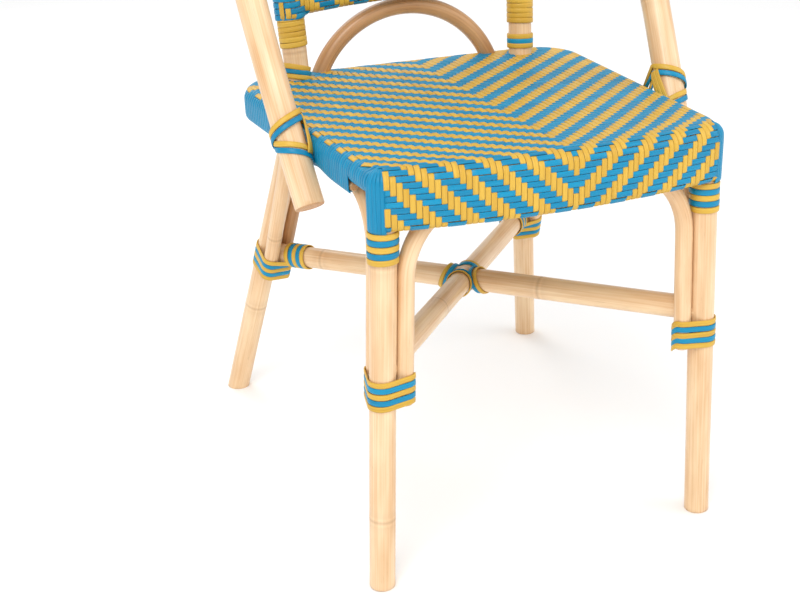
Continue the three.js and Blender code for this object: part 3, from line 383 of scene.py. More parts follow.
# Seat frame. A cane rail between the front legs, one cane rim bent round both sides
# and the back, and two thin laths below them that the bottom of the weave turns round.
SEAT_TOP, SKIN, PRESSED = 451.4, 3.0, 0.3
EDGE_RADIUS = 14.3
RAIL_HEIGHT = SEAT_TOP - EDGE_RADIUS
RAIL_RADIUS = 10.4
FRONT_BOTTOM, RIM_BOTTOM = 391.5, 413.0
LATH_ROOM, LATH_RADIUS = 4.5, 4.3
LATH_INSET = SKIN + PRESSED + LATH_ROOM
CORNER = front_leg_at((RAIL_HEIGHT + FRONT_BOTTOM) / 2)
CORNER_RADIUS = FRONT_RADIUS + PRESSED + SKIN + 0.958
BOW, FLARE, BACK_Y, BACK_RADIUS = 18.5, 0.07, 226.0, 62.0
BOW_SPOTS, CORNER_SPOTS, SIDE_SPOTS, BACK_SPOTS = 60, 30, 78, 40
CORNER_END = BOW_SPOTS + CORNER_SPOTS
SIDE_END = CORNER_END + SIDE_SPOTS


def bend_spot(x, y, radius, angle):
    return x + radius * math.cos(angle), y + radius * math.sin(angle), angle


def seat_edge():
    """Spots and outward angles along half the edge, from the middle of the front to that of the back."""
    turn = math.atan(2 * BOW / CORNER[0])
    bow_x = CORNER[0] + CORNER_RADIUS * math.sin(turn)
    bow_y = CORNER[1] - CORNER_RADIUS * math.cos(turn)
    flare = math.atan(FLARE)
    spots = []
    for share in np.linspace(0, 1, BOW_SPOTS, endpoint=False):
        angle = math.atan2(-1.0, 2 * BOW * share / bow_x)
        spots.append((bow_x * share, bow_y - BOW * (1 - share ** 2), angle))
    for angle in np.linspace(turn - TAU / 4, -flare, CORNER_SPOTS):
        spots.append(bend_spot(CORNER[0], CORNER[1], CORNER_RADIUS, angle))
    start = spots[-1]
    centre_y = BACK_Y - BACK_RADIUS
    end_y = centre_y - BACK_RADIUS * math.sin(flare)
    for y in np.linspace(start[1], end_y, SIDE_SPOTS + 2)[1:-1]:
        spots.append((start[0] + FLARE * (y - start[1]), y, -flare))
    centre_x = start[0] + FLARE * (end_y - start[1]) - BACK_RADIUS * math.cos(flare)
    for angle in np.linspace(-flare, TAU / 4, BACK_SPOTS):
        spots.append(bend_spot(centre_x, centre_y, BACK_RADIUS, angle))
    for share in np.linspace(0, 1, BACK_SPOTS)[1:]:
        spots.append((centre_x * (1 - share), BACK_Y, TAU / 4))
    return np.array(spots)


EDGE = seat_edge()
NOTCH_FRONT = EDGE[CORNER_END - 1, 1]
NOTCH_BACK = NOTCH_FRONT + 41.0


def edge_points(inset, z):
    """The half edge set in by an amount, at a height."""
    x = EDGE[:, 0] - np.cos(EDGE[:, 2]) * inset
    y = EDGE[:, 1] - np.sin(EDGE[:, 2]) * inset
    return np.stack([x, y, np.full(len(x), float(z))], axis=1)


def side_x(y):
    return np.interp(y, EDGE[CORNER_END:SIDE_END, 1], EDGE[CORNER_END:SIDE_END, 0])


def across_front(part):
    return np.concatenate([mirror(part)[::-1], part[1:]])


def round_back(part):
    return np.concatenate([part, mirror(part)[::-1][1:]])


rail_line = edge_points(EDGE_RADIUS, RAIL_HEIGHT)
lath_line = edge_points(LATH_INSET, FRONT_BOTTOM + LATH_INSET)
cane("front_rail_cane", across_front(rail_line[:BOW_SPOTS - 2]), RAIL_RADIUS, ["front_rail"], seed=21)
cane("seat_rim_bent_cane", round_back(rail_line[CORNER_END + 2:]), RAIL_RADIUS, ["seat_rim_cane"], seed=22)
front_lath = across_front(lath_line[:BOW_SPOTS - 6])
cane("front_apron_lath_cane", front_lath, LATH_RADIUS, ["front_apron_lath"], seed=23)
lath_line = edge_points(LATH_INSET, RIM_BOTTOM + LATH_INSET)
behind_notch = (EDGE[:, 1] > NOTCH_BACK + PRESSED) & (np.arange(len(EDGE)) > CORNER_END)
cane("rim_apron_lath_cane", round_back(lath_line[behind_notch]), LATH_RADIUS, ["rim_apron_lath"], seed=24)


# Braces. Four thinner canes bent to an upturned U: one across the front, one across
# the back and one along each side. Their ends lie against the legs, where they are
# lashed, and their bends press up under the seat.
BRACE_RADIUS, SIDE_BRACE_RADIUS, BRACE_BEND = 9.0, 9.25, 80.0
BRACE_TOP, FRONT_BRACE_END, REAR_BRACE_END = 415.5, 206.8, 196.0
FIVE_TURNS = 32.2
TOP_LASH_Z = FRONT_BOTTOM - 1.0 - FIVE_TURNS
BEHIND_LATH = LATH_INSET + 4.8
SIDE_BRACE_RISE = 2.9
SIDE_BRACE_MIDDLE, SIDE_BRACE_BACK, SIDE_BRACE_BENDS = 20.0, (165.0, 138.0), [55.0, 300.0, 45.0]
CANE_BROWN = cane_material("aged_cane", linear("D9AB7A"), linear("A06B3E"), linear("5E3A1E"))


def square_step(direction, wish, length):
    """A step of a length, square to a direction and as near as can be to a wished way."""
    return unit(wish - direction * np.dot(wish, direction)) * length


def brace_path(low, high):
    return rounded_path([low, high, mirror(high), mirror(low)], [BRACE_BEND] * 2)


BESIDE_LEG = vec(-(FRONT_RADIUS + PRESSED + BRACE_RADIUS), 0, 0)
path = brace_path(front_leg_at(FRONT_BRACE_END) + BESIDE_LEG, front_leg_at(BRACE_TOP) + BESIDE_LEG)
cane("front_brace_bent_cane", path, BRACE_RADIUS, ["front_brace"], seed=31)
BESIDE_REAR_LEG = square_step(REAR_DOWN, vec(-1, 0, 0), REAR_RADIUS + PRESSED + BRACE_RADIUS)
REAR_BRACE_LOW = rear_leg_at(REAR_BRACE_END) + BESIDE_REAR_LEG
high = rear_leg_at(BRACE_TOP) + BESIDE_REAR_LEG
high[1], high[2] = BACK_Y - BEHIND_LATH - BRACE_RADIUS, BRACE_TOP
path = brace_path(REAR_BRACE_LOW, high)
cane("rear_brace_bent_cane", path, BRACE_RADIUS, ["rear_brace"], seed=32, material=CANE_BROWN)


def side_brace_path():
    low = front_leg_at(FRONT_BRACE_END) + vec(0, FRONT_RADIUS + PRESSED + SIDE_BRACE_RADIUS, 0)
    inset = BEHIND_LATH + SIDE_BRACE_RADIUS
    high_y = low[1] + SIDE_BRACE_RISE / (TOP_LASH_Z - FRONT_BRACE_END) * (BRACE_TOP - FRONT_BRACE_END)
    high = vec(side_x(high_y) - inset, high_y, BRACE_TOP)
    middle = vec(side_x(SIDE_BRACE_MIDDLE) - inset, SIDE_BRACE_MIDDLE, BRACE_TOP)
    off_leg = square_step(REAR_DOWN, vec(0, -1, 0), REAR_RADIUS + PRESSED + SIDE_BRACE_RADIUS)
    end = rear_leg_at(REAR_BRACE_END) + off_leg
    return rounded_path([low, high, middle, vec(*SIDE_BRACE_BACK, BRACE_TOP), end], SIDE_BRACE_BENDS)


SIDE_BRACE = side_brace_path()
for word, side in SIDES:
    path = on_side(SIDE_BRACE, side)
    cane(f"side_brace_bent_cane_{word}", path, SIDE_BRACE_RADIUS, [f"side_brace_{word}"], seed=35 + side)


# Stretchers. Two straight canes from each front leg to the rear leg of the other side,
# halved into each other where they cross.
STRETCHER_RADIUS = 13.0
STRETCHER = (front_leg_at(247.0), mirror(rear_leg_at(216.0)))
for word, side in SIDES:
    path, nodes = on_side(STRETCHER, side), [f"stretcher_{word}"]
    cane(f"stretcher_cane_{word}", path, STRETCHER_RADIUS, nodes, seed=41 + side)


# Back hoop. The thickest cane, bent to a tall arch that leans back over the panel. Its
# straight ends run down past the seat's sides and are cut off square below them.
HOOP_RADIUS, HOOP_HALF, HOOP_FOOT = 15.5, 230.07, 384.5
HOOP_Y, HOOP_Z, HOOP_LEAN, HOOP_SPLAY, HOOP_OFF_SEAT = -44.0, 440.0, 0.6, 0.112, 0.6
TOP_RAIL, LOWER_RAIL, ROOM = 10.0, 8.0, 0.9
RAIL_CENTRE = POST_TOP + 2.0
RAIL_BEND = post_at(POST_TOP)[0]
HOOP_SPRING = RAIL_CENTRE + RAIL_BEND + TOP_RAIL + ROOM + SKIN + PRESSED + HOOP_RADIUS - HOOP_HALF
FOOT_SPOTS, ARCH_SPOTS = 40, 50


def hoop_y(z):
    return HOOP_Y + HOOP_LEAN * (z - HOOP_Z)


def half_hoop():
    foot_x = side_x(hoop_y(RIM_BOTTOM)) + HOOP_OFF_SEAT + HOOP_RADIUS - HOOP_SPLAY * (RIM_BOTTOM - HOOP_FOOT)
    turn_height = HOOP_FOOT + (HOOP_HALF - foot_x) / HOOP_SPLAY
    share = np.linspace(0, 1, FOOT_SPOTS)
    weights = ((1 - share) ** 2, 2 * share * (1 - share), share ** 2)
    x = weights[0] * foot_x + (weights[1] + weights[2]) * HOOP_HALF
    z = weights[0] * HOOP_FOOT + weights[1] * turn_height + weights[2] * HOOP_SPRING
    turn = np.linspace(0, TAU / 4, ARCH_SPOTS)[1:]
    x = np.concatenate([x, HOOP_HALF * np.cos(turn)])
    z = np.concatenate([z, HOOP_SPRING + HOOP_HALF * np.sin(turn)])
    return np.stack([x, hoop_y(z), z], axis=1)


HALF_HOOP = half_hoop()
cane("back_hoop_bent_cane", round_back(HALF_HOOP), HOOP_RADIUS, ["back_hoop"], seed=56)


# Low arch. A darker cane bent to a shallow arch between the two posts. Its ends stand
# on the back of the seat rim.
ARCH_RADIUS, ARCH_BEND, ARCH_CENTRE, ARCH_Y, ARCH_FOOT = 10.0, 119.4, 399.5, 212.0, 8.0
foot = math.asin((RAIL_HEIGHT + ARCH_FOOT - ARCH_CENTRE) / ARCH_BEND)
turn = np.linspace(foot, math.pi - foot, 60)
arch_z = ARCH_CENTRE + ARCH_BEND * np.sin(turn)
arch = np.stack([ARCH_BEND * np.cos(turn), np.full(60, ARCH_Y), arch_z], axis=1)
cane("rear_arch_bent_cane", arch, ARCH_RADIUS, ["rear_arch"], material=CANE_BROWN, seed=52)


# Panel rails. A cane arched from post to post carries the top of the woven panel, and
# a thinner one, bowed a little upward, carries its bottom. The weave hides both.
PANEL_BOTTOM, PANEL_RISE = 520.0, 10.0
POST_HALF = post_at(PANEL_BOTTOM)[0]
LOWER_RAIL_END, TOP_RAIL_END = 15.0, 0.02


def panel_y(z):
    return rear_leg_at(KNEE)[1] + POST_SLOPE[1] * (z - KNEE)


def lower_edge(x):
    return PANEL_BOTTOM + PANEL_RISE * (1 - np.minimum(np.abs(x) / POST_HALF, 1.0) ** 2)


def panel_low(x):
    """The lower rail's middle line."""
    return lower_edge(x) + SKIN + ROOM + LOWER_RAIL


turn = np.linspace(TOP_RAIL_END, math.pi - TOP_RAIL_END, 80)
z = RAIL_CENTRE + RAIL_BEND * np.sin(turn)
top_line = np.stack([RAIL_BEND * np.cos(turn), panel_y(z), z], axis=1)
cane("panel_top_bent_cane", top_line, TOP_RAIL, ["panel_top_rail"], seed=53)
x = np.linspace(-POST_HALF + LOWER_RAIL_END, POST_HALF - LOWER_RAIL_END, 40)
low_line = np.stack([x, panel_y(panel_low(x)), panel_low(x)], axis=1)
cane("panel_lower_bent_cane", low_line, LOWER_RAIL, ["panel_lower_rail"], seed=54)


# Woven seat. Flat plastic strand, yellow from back to front and blue from side to side,
# over three and under three, mirrored about one column so that the steps make
# chevrons. It turns over the frame and goes down as aprons to the laths.
def strand_material(name, main, shade):
    """Flat plastic strand: fine ribs and streaks along it, and a tone that differs by strand."""
    material, shader = new_material(name, 0.42, 0.32, 0.06)
    grain = measure("grain", 1)
    across, length = grain.part(0), grain.part(2)
    piece = measure("piece")
    streak = noise(triple(across * 0.9, piece * 3.7, length * 0.012), 1.0, 3.0, 0.6)
    batch = noise(triple(piece * 1.31, 0.0, length * 0.004), 1.0, 1.0)
    colour = (streak * 0.5 + batch * 0.5).ramp((0.3, shade), (0.62, main))
    ribs = (across * 5.2).math("SINE") * 0.5
    normal = bump(ribs + streak, 0.12, 0.0004)
    feed(shader, Base_Color=colour, Roughness=streak * 0.22 + 0.3, Normal=normal)
    return material


YELLOW = strand_material("yellow_strand", linear("DAB146"), linear("C3952F"))
BLUE = strand_material("blue_strand", linear("008EB8"), linear("00709A"))
STRAND_THICK, STRAND_OFFSET, BLUNT = 1.5, 613.0, 0.04
DOME = ((-0.5, 0.0), (-0.45, 0.36), (-0.2, 0.5), (0.2, 0.5), (0.45, 0.36), (0.5, 0.0))
RIBBON = (*DOME, (0.4, -0.5), (-0.4, -0.5))


def ribbon(batch, laid, wide, piece, closed=False):
    """A slightly domed flat strand, laid through places that each have a facing."""
    path, facing = (np.array(line, dtype=float) for line in zip(*laid))
    facing = unit(facing)
    if not closed:
        keep = np.concatenate([[True], np.linalg.norm(np.diff(path, axis=0), axis=1) > 0.02])
        path, facing = path[keep], facing[keep]
    ahead = ahead_of(path, closed)
    facing = unit(facing - ahead * np.sum(facing * ahead, axis=1, keepdims=True))
    side = np.cross(ahead, facing)
    wide = np.broadcast_to(wide, len(path)).astype(float)
    length = lengths_along(path)
    scale = np.ones(len(wide))
    if not closed:
        doubled = (np.concatenate([line[:1], line, line[-1:]]) for line in (path, side, facing, length, wide))
        path, side, facing, length, wide = doubled
        scale = np.concatenate([[BLUNT], scale, [BLUNT]])
    section = np.array(RIBBON)
    across = section[None, :, 0] * (wide * scale)[:, None]
    high = section[None, :, 1] * (STRAND_THICK * scale)[:, None]
    rings = path[:, None, :] + side[:, None, :] * across[..., None] + facing[:, None, :] * high[..., None]
    length = np.repeat(length[:, None] + STRAND_OFFSET * piece, len(RIBBON), 1)
    grain = np.stack([across, high, length], axis=-1)
    batch.sweep(rings, grain, piece=piece, closed=closed)


LEFT_COLUMNS, RIGHT_COLUMNS, ROWS = 31, 28, 69
SPILL, FADE, LAYER, MID = 10.5, 0.06, 0.92, 1.5
PHASE, DRAWN_SHARE, APRON_PITCH = 1, 0.19, 5.9
PROFILE_SPOTS, TAIL_BELOW_RAIL = 21, 10.0


def edge_part(spots):
    """A stretch of the edge, and the share of its length at each spot."""
    x = spots[:, 0] - np.cos(spots[:, 2]) * EDGE_RADIUS * 0.5
    y = spots[:, 1] - np.sin(spots[:, 2]) * EDGE_RADIUS * 0.5
    lengths = np.concatenate([[0.0], np.cumsum(np.hypot(np.diff(x), np.diff(y)))])
    return spots, lengths / lengths[-1]


BACK_SPLIT = int(np.argmax(EDGE[SIDE_END:, 2] > TAU / 8)) + SIDE_END
FRONT_HALF = edge_part(EDGE[:BOW_SPOTS + 3])
SIDE_PART = edge_part(EDGE[CORNER_END - 2:BACK_SPLIT + 1][::-1])
BACK_HALF = edge_part(EDGE[BACK_SPLIT:][::-1])


def spot_on(part, share, side):
    spots, shares = part
    x, y, angle = (np.interp(share, shares, spots[:, k]) for k in range(3))
    return (x, y, angle) if side >= 0 else (-x, y, TAU / 2 - angle)


def front_spot(u):
    """u runs from -1 at the left corner to 1 at the right one."""
    return spot_on(FRONT_HALF, abs(u), u)


def back_spot(u):
    return spot_on(BACK_HALF, abs(u), u)


def side_spot(v, side):
    """v runs from 0 at the back to 1 at the front."""
    return spot_on(SIDE_PART, v, side)


def set_in(spot, inset):
    return vec(spot[0] - math.cos(spot[2]) * inset, spot[1] - math.sin(spot[2]) * inset)


def seat_spot(u, v):
    """A place on the woven top, laid flat between the edges that bound it."""
    a = (u + 1.0) / 2.0
    inset = EDGE_RADIUS - SPILL * min(v / FADE, (1 - v) / FADE, 1.0)
    back, front = set_in(back_spot(u), EDGE_RADIUS), set_in(front_spot(u), EDGE_RADIUS)
    left, right = set_in(side_spot(v, -1), inset), set_in(side_spot(v, 1), inset)
    corners = [set_in(side_spot(w, s), EDGE_RADIUS) for w in (0.0, 1.0) for s in (-1, 1)]
    ends = [set_in(spot_at(s), EDGE_RADIUS) for spot_at in (back_spot, front_spot) for s in (-1, 1)]
    corners = [(c + e) / 2 for c, e in zip(corners, ends)]
    flat = (1 - v) * ((1 - a) * corners[0] + a * corners[1]) + v * ((1 - a) * corners[2] + a * corners[3])
    return (1 - v) * back + v * front + (1 - a) * left + a * right - flat


OUTER_EDGE = EDGE[BOW_SPOTS + 2:SIDE_END + 32]


def draped(spot, lift):
    """A flat place let down over the rolled side edge: where it comes to lie and its facing."""
    x, y = spot
    side = math.copysign(1.0, x)
    edge, angle = (np.interp(y, OUTER_EDGE[:, 1], OUTER_EDGE[:, k]) for k in (0, 2))
    past = EDGE_RADIUS - (edge - abs(x)) * math.cos(angle)
    radius = EDGE_RADIUS - MID
    if past <= 0:
        return vec(x, y, SEAT_TOP - MID + lift), vec(0, 0, 1)
    turn = past / EDGE_RADIUS
    slide = past - (radius + lift) * math.sin(turn)
    way = vec(side * math.sin(turn) * math.cos(angle), math.sin(turn) * math.sin(angle), math.cos(turn))
    z = RAIL_HEIGHT + (radius + lift) * math.cos(turn)
    return vec(x - side * slide * math.cos(angle), y - slide * math.sin(angle), z), way


def edge_profile(bottom, lift, start=TAU / 4, tail=TAU / 2):
    """Inset, height and facing down an edge: roll, face, round the lath and up inside."""
    radius = EDGE_RADIUS - MID + lift
    spots = []
    for turn in np.linspace(start, 0.0, 8):
        spots.append((EDGE_RADIUS - radius * math.cos(turn), RAIL_HEIGHT + radius * math.sin(turn), turn))
    lath = bottom + LATH_INSET
    round_lath = LATH_INSET - MID + lift
    for z in np.linspace(RAIL_HEIGHT, lath, 5)[1:]:
        spots.append((MID - lift, z, 0.0))
    for turn in np.linspace(0.0, tail, 9)[1:]:
        inset = LATH_INSET - round_lath * math.cos(turn)
        spots.append((inset, lath - round_lath * math.sin(turn), -turn))
    if tail > TAU / 3:
        spots.append((LATH_INSET + round_lath, RAIL_HEIGHT - TAIL_BELOW_RAIL, -TAU / 2))
    return np.array(spots)


def stood(spot, inset, z, turn):
    """A place of a profile that stands at one spot of the edge, and its facing."""
    cos, sin = math.cos(spot[2]), math.sin(spot[2])
    way = vec(math.cos(turn) * cos, math.cos(turn) * sin, math.sin(turn))
    return vec(spot[0] - cos * inset, spot[1] - sin * inset, z), way


def over(column, row):
    """True where the column passes over the row."""
    return (abs(column) + row + PHASE) % 6 < 3


def row_share(row):
    """Rows lie closer together towards the front."""
    share = row / ROWS
    return share * (1 + DRAWN_SHARE - DRAWN_SHARE * share)


def column_share(column, nudge=0.0):
    middle = (LEFT_COLUMNS - RIGHT_COLUMNS) / 2
    return (column + middle + nudge) / ((LEFT_COLUMNS + RIGHT_COLUMNS + 1) / 2)


NUDGES, COLUMNS = (-0.3, 0.3), range(-LEFT_COLUMNS, RIGHT_COLUMNS + 1)
ROW_START = TAU / 4 - (SPILL + MID) / EDGE_RADIUS
TIGHT, ROW_WIDE, COLUMN_WIDE = 0.96, 6.0, 6.6
EDGE_LIFT, LASH_DROP, LASH_SPREAD, NOTCH_FADE = 0.4, 3.5, 22.0, 12.0


def row_layers(row):
    """Two places at each column that a row crosses, and how high the row lies there."""
    layers = []
    for column in COLUMNS:
        lift = -LAYER if over(column, row) else LAYER
        layers += [(column_share(column, nudge), lift) for nudge in NUDGES]
    return layers


def notch_profile(lift):
    """Over the notch behind a front leg the strands turn round the rim alone."""
    radius = EDGE_RADIUS - MID + lift
    turns = np.linspace(ROW_START, -TAU / 3, PROFILE_SPOTS)
    inset, high = EDGE_RADIUS - radius * np.cos(turns), RAIL_HEIGHT + radius * np.sin(turns)
    return np.stack([inset, high, turns], axis=1)


def row_profile(spot):
    if spot[1] < NOTCH_BACK:
        return notch_profile(EDGE_LIFT)
    near_lash = math.exp(-((spot[1] - hoop_y(RIM_BOTTOM)) / LASH_SPREAD) ** 2)
    tail = TAU / 2 if spot[1] > NOTCH_BACK + NOTCH_FADE else TAU / 8
    profile = edge_profile(RIM_BOTTOM + LASH_DROP * near_lash, EDGE_LIFT, ROW_START, tail)
    if len(profile) < PROFILE_SPOTS:
        profile = np.concatenate([profile, profile[-1:] + (EDGE_LIFT, EDGE_LIFT, 0)])
    return profile


def widths(strands, most):
    """Each strand as wide as its room between its neighbours, up to a most."""
    paths = np.array([[place for place, _ in laid] for laid in strands])
    room = np.linalg.norm(np.diff(paths, axis=0), axis=2)
    room = (np.concatenate([room[:1], room]) + np.concatenate([room, room[-1:]])) / 2
    return np.minimum(room * TIGHT, most)


def seat_rows():
    batch, strands = Batch(), []
    for row in range(ROWS):
        v, ends = row_share(row + 0.5), []
        for side in (-1, 1):
            spot = side_spot(v, side)
            ends.append([stood(spot, *place) for place in row_profile(spot)])
        top = [draped(seat_spot(u, v), lift) for u, lift in row_layers(row)]
        strands.append(ends[0][::-1] + top + ends[1])
    for row, wide in enumerate(widths(strands, ROW_WIDE)):
        ribbon(batch, strands[row], wide, row)
    batch.build("seat_rows_blue", BLUE)


CORNER_STRANDS, CORNER_SINK = 5, 0.2
CORNER_TURN = EDGE[CORNER_END - 1, 2] - EDGE[BOW_SPOTS, 2]


def corner_strands():
    """Upright strands fanned round both front corners, over the tops of the legs."""
    batch = Batch()
    radius = EDGE_RADIUS - MID - CORNER_SINK
    for side in (-1, 1):
        for k in range(CORNER_STRANDS):
            angle = EDGE[BOW_SPOTS, 2] + CORNER_TURN * (k + 0.4) / CORNER_STRANDS
            out = vec(side * math.cos(angle), math.sin(angle), 0)
            middle = CORNER * (side, 1, 0)
            laid = []
            for turn in np.linspace(TAU / 4, 0, 9):
                reach = CORNER_RADIUS - EDGE_RADIUS + radius * math.cos(turn)
                place = middle + out * reach + vec(0, 0, RAIL_HEIGHT + radius * math.sin(turn))
                laid.append((place, out * math.cos(turn) + vec(0, 0, math.sin(turn))))
            for z in np.linspace(RAIL_HEIGHT, FRONT_BOTTOM + 1.5, 8)[1:]:
                laid.append((middle + out * (CORNER_RADIUS - MID) + vec(0, 0, z), out))
            end = middle + out * (FRONT_RADIUS + 1.1) + vec(0, 0, FRONT_BOTTOM - 1.0)
            laid.append((end, out * 0.4 - vec(0, 0, 0.9)))
            arc = (CORNER_RADIUS - MID) * CORNER_TURN / CORNER_STRANDS
            wide = np.concatenate([np.linspace(0.45, 1.08, 9), np.full(8, 1.08)]) * arc
            ribbon(batch, laid, wide, 700 + 10 * k + side)
    batch.build("seat_corner_strands_blue", BLUE)


def apron_place(spot, distance, lift, bottom):
    """A place on an edge's outside, a distance down from where the top starts to roll."""
    radius, small = EDGE_RADIUS - MID, LATH_INSET - MID
    arc = radius * TAU / 4
    past_face = distance - arc - (RAIL_HEIGHT - bottom - LATH_INSET)
    if past_face > 0:
        turn = -past_face / small
        inset = LATH_INSET - (small + lift) * math.cos(turn)
        z = bottom + LATH_INSET + (small + lift) * math.sin(turn)
    elif distance < arc:
        turn = TAU / 4 - distance / radius
        inset = EDGE_RADIUS - (radius + lift) * math.cos(turn)
        z = RAIL_HEIGHT + (radius + lift) * math.sin(turn)
    else:
        turn, inset, z = 0.0, MID - lift, RAIL_HEIGHT - (distance - arc)
    return stood(spot, inset, z, turn)


def apron_rows(depth):
    arc = (EDGE_RADIUS - MID) * TAU / 4
    return round((arc + RAIL_HEIGHT - depth - LATH_INSET + (LATH_INSET - MID) * TAU / 4) / APRON_PITCH)


APRONS = (
    (back_spot, RIM_BOTTOM, range(-1, -1 - apron_rows(RIM_BOTTOM), -1)),
    (front_spot, FRONT_BOTTOM, range(ROWS, ROWS + apron_rows(FRONT_BOTTOM))),
)
TUCKED_IN = [(-1.0, -1.9), (-0.99, -0.9)]


def apron_tail(column, spot_at, bottom, rows):
    """A column from where the top starts to roll, down, round the lath and up inside."""
    spot, laid = spot_at(column_share(column)), []
    for k, row in enumerate(rows):
        lift = LAYER if over(column, row) else -LAYER
        laid += [apron_place(spot, (k + 0.5 + nudge) * APRON_PITCH, lift, bottom) for nudge in NUDGES]
    covered = (len(rows) - 0.2) * APRON_PITCH - (EDGE_RADIUS - MID) * TAU / 4
    covered -= RAIL_HEIGHT - bottom - LATH_INSET
    profile = edge_profile(bottom, 0.0)[-9:]
    left = profile[profile[:, 2] < -covered / (LATH_INSET - MID) - 0.15]
    return laid + [stood(spot, *place) for place in left]


def seat_columns():
    batch, strands = Batch(), []
    for column in COLUMNS:
        u, top = column_share(column), []
        for row in range(ROWS):
            lift = LAYER if over(column, row) else -LAYER
            top += [draped(seat_spot(u, row_share(row + 0.5 + nudge)), lift) for nudge in NUDGES]
        back, front = (apron_tail(column, *apron) for apron in APRONS)
        strands.append(back[::-1] + top + front)
    for k, wide in enumerate(widths(strands, COLUMN_WIDE)):
        ribbon(batch, strands[k], wide, k + 200)
    batch.build("seat_columns_yellow", YELLOW, ["seat_weave"])


def seat_apron_rows():
    batch = Batch()
    for spot_at, bottom, rows in APRONS:
        for k, row in enumerate(rows):
            layers = TUCKED_IN + row_layers(row) + [(-u, sink) for u, sink in TUCKED_IN[::-1]]
            distance = (k + 0.5) * APRON_PITCH
            laid = [apron_place(spot_at(u), distance, lift, bottom) for u, lift in layers]
            ribbon(batch, laid, APRON_PITCH * TIGHT, 400 + row)
    batch.build("seat_apron_rows_blue", BLUE)


seat_rows()
corner_strands()
seat_columns()
seat_apron_rows()


# Woven panel. The same strand and twill between the posts, turned over the two rails
# and round the posts. The outermost columns lie on the posts and end under the wraps.
PANEL_COLUMNS, PANEL_ROWS, LOW_ROWS = 26, 46, 2
PANEL_PHASE, PANEL_FLAT_TALL, POST_FADE = 3, 300.0, 14.0
LOW_REACH, TOP_REACH = LOWER_RAIL + ROOM + MID, TOP_RAIL + ROOM + MID
POST_REACH = REAR_RADIUS + ROOM + MID
POST_ROOM = POST_REACH - TOP_REACH
PANEL_FRONT = unit(vec(0, -1, POST_SLOPE[1]))
TOP_OUTER = RAIL_BEND + TOP_REACH
WRAP_TOP, COLUMN_SPREAD = 519.0, 11.6
PANEL_PITCH = (RAIL_CENTRE + RAIL_BEND - panel_low(0.0)) / PANEL_ROWS


def panel_high(x):
    return RAIL_CENTRE + np.sqrt(np.maximum(RAIL_BEND ** 2 - x ** 2, 0.0))


def edge_reach(z):
    """The weave's radius round a post, and round the arched rail that follows it."""
    return TOP_REACH + POST_ROOM * math.exp(-max(z - RAIL_CENTRE, 0.0) / POST_FADE)


def column_x(column, z):
    """Columns fan out a little with the posts and run straight up above them."""
    half = post_at(min(z, RAIL_CENTRE))[0]
    return column / PANEL_COLUMNS * (half + COLUMN_SPREAD)


def beyond_edge(x, z):
    """How far a place lies outside the middle line of the posts and the arched rail."""
    if z < RAIL_CENTRE:
        return abs(x) - post_at(z)[0]
    return math.hypot(x, z - RAIL_CENTRE) - RAIL_BEND


def face_off(x, z):
    """How far the weave stands before the panel's middle plane."""
    past, reach = beyond_edge(x, z), edge_reach(z)
    tube = math.sqrt(max(reach ** 2 - past ** 2, 0.0))
    low = panel_low(x)
    share = min(max((z - PANEL_BOTTOM) / PANEL_FLAT_TALL, 0.0), 1.0)
    flat = LOW_REACH + (TOP_REACH - LOW_REACH) * share
    if z < low:
        flat = math.sqrt(max(LOW_REACH ** 2 - (low - z) ** 2, 0.0))
    return (flat ** 8 + tube ** 8) ** 0.125 if past < 0 else tube


def row_height(row, x):
    """Rows follow the lower rail's bow at the bottom and run level further up."""
    low = panel_low(x)
    rise = (row + 0.5) * PANEL_PITCH
    if rise < 0:
        share = min(max((beyond_edge(x, low) + 16.0) / 6.0, 0.0), 1.0)
        return low + rise * share + LOW_REACH * math.sin(rise / LOW_REACH) * (1 - share)
    left = max(1 - rise / (PANEL_PITCH * PANEL_ROWS), 0.0)
    return panel_low(0.0) + rise + (low - panel_low(0.0)) * left ** 2


def panel_over(column, row):
    return over(column, PANEL_PHASE - row)


def panel_spot(x, z, front, lift):
    """A place on the panel's front (1) or back (-1) face, and its facing."""
    off = face_off(x, z)
    past, low = beyond_edge(x, z), panel_low(x)
    lean = vec(0, 0, 0)
    if past > -edge_reach(z):
        full = min((past / edge_reach(z) + 1.0) * 2.5, 1.0)
        lean = vec(past * math.copysign(full, x) / edge_reach(z), 0, 0)
    elif z < low:
        lean = vec(0, 0, -(low - z) / LOW_REACH)
    way = unit(PANEL_FRONT * (front * max(1 - float(lean @ lean), 0.05) ** 0.5) + lean)
    return vec(x, panel_y(float(z)), z) + PANEL_FRONT * (front * off) + way * lift, way


def face_column(column, front):
    laid = []
    for row in range(-LOW_ROWS, PANEL_ROWS):
        lift = LAYER if panel_over(column, row) else -LAYER
        for nudge in NUDGES:
            z = row_height(row + nudge, column_x(column, row_height(row, 0.0)))
            x = column_x(column, z)
            if WRAP_TOP + 3.0 < z < panel_high(x) - 1.0:
                laid.append(panel_spot(x, z, front, lift))
    return laid[::front]


def round_rail(x, z, beyond, deep, turns):
    """Places on a strand that turns round a rail or post; a turn of 0 faces front and 1 back."""
    middle, away = vec(x, panel_y(float(z)), z), unit(beyond)
    laid = []
    for turn in turns * math.pi:
        cos, sin = math.cos(turn), math.sin(turn)
        way = PANEL_FRONT * math.copysign(1.0, deep) * cos + away * sin
        laid.append((middle + beyond * sin + PANEL_FRONT * (deep * cos), way))
    return laid


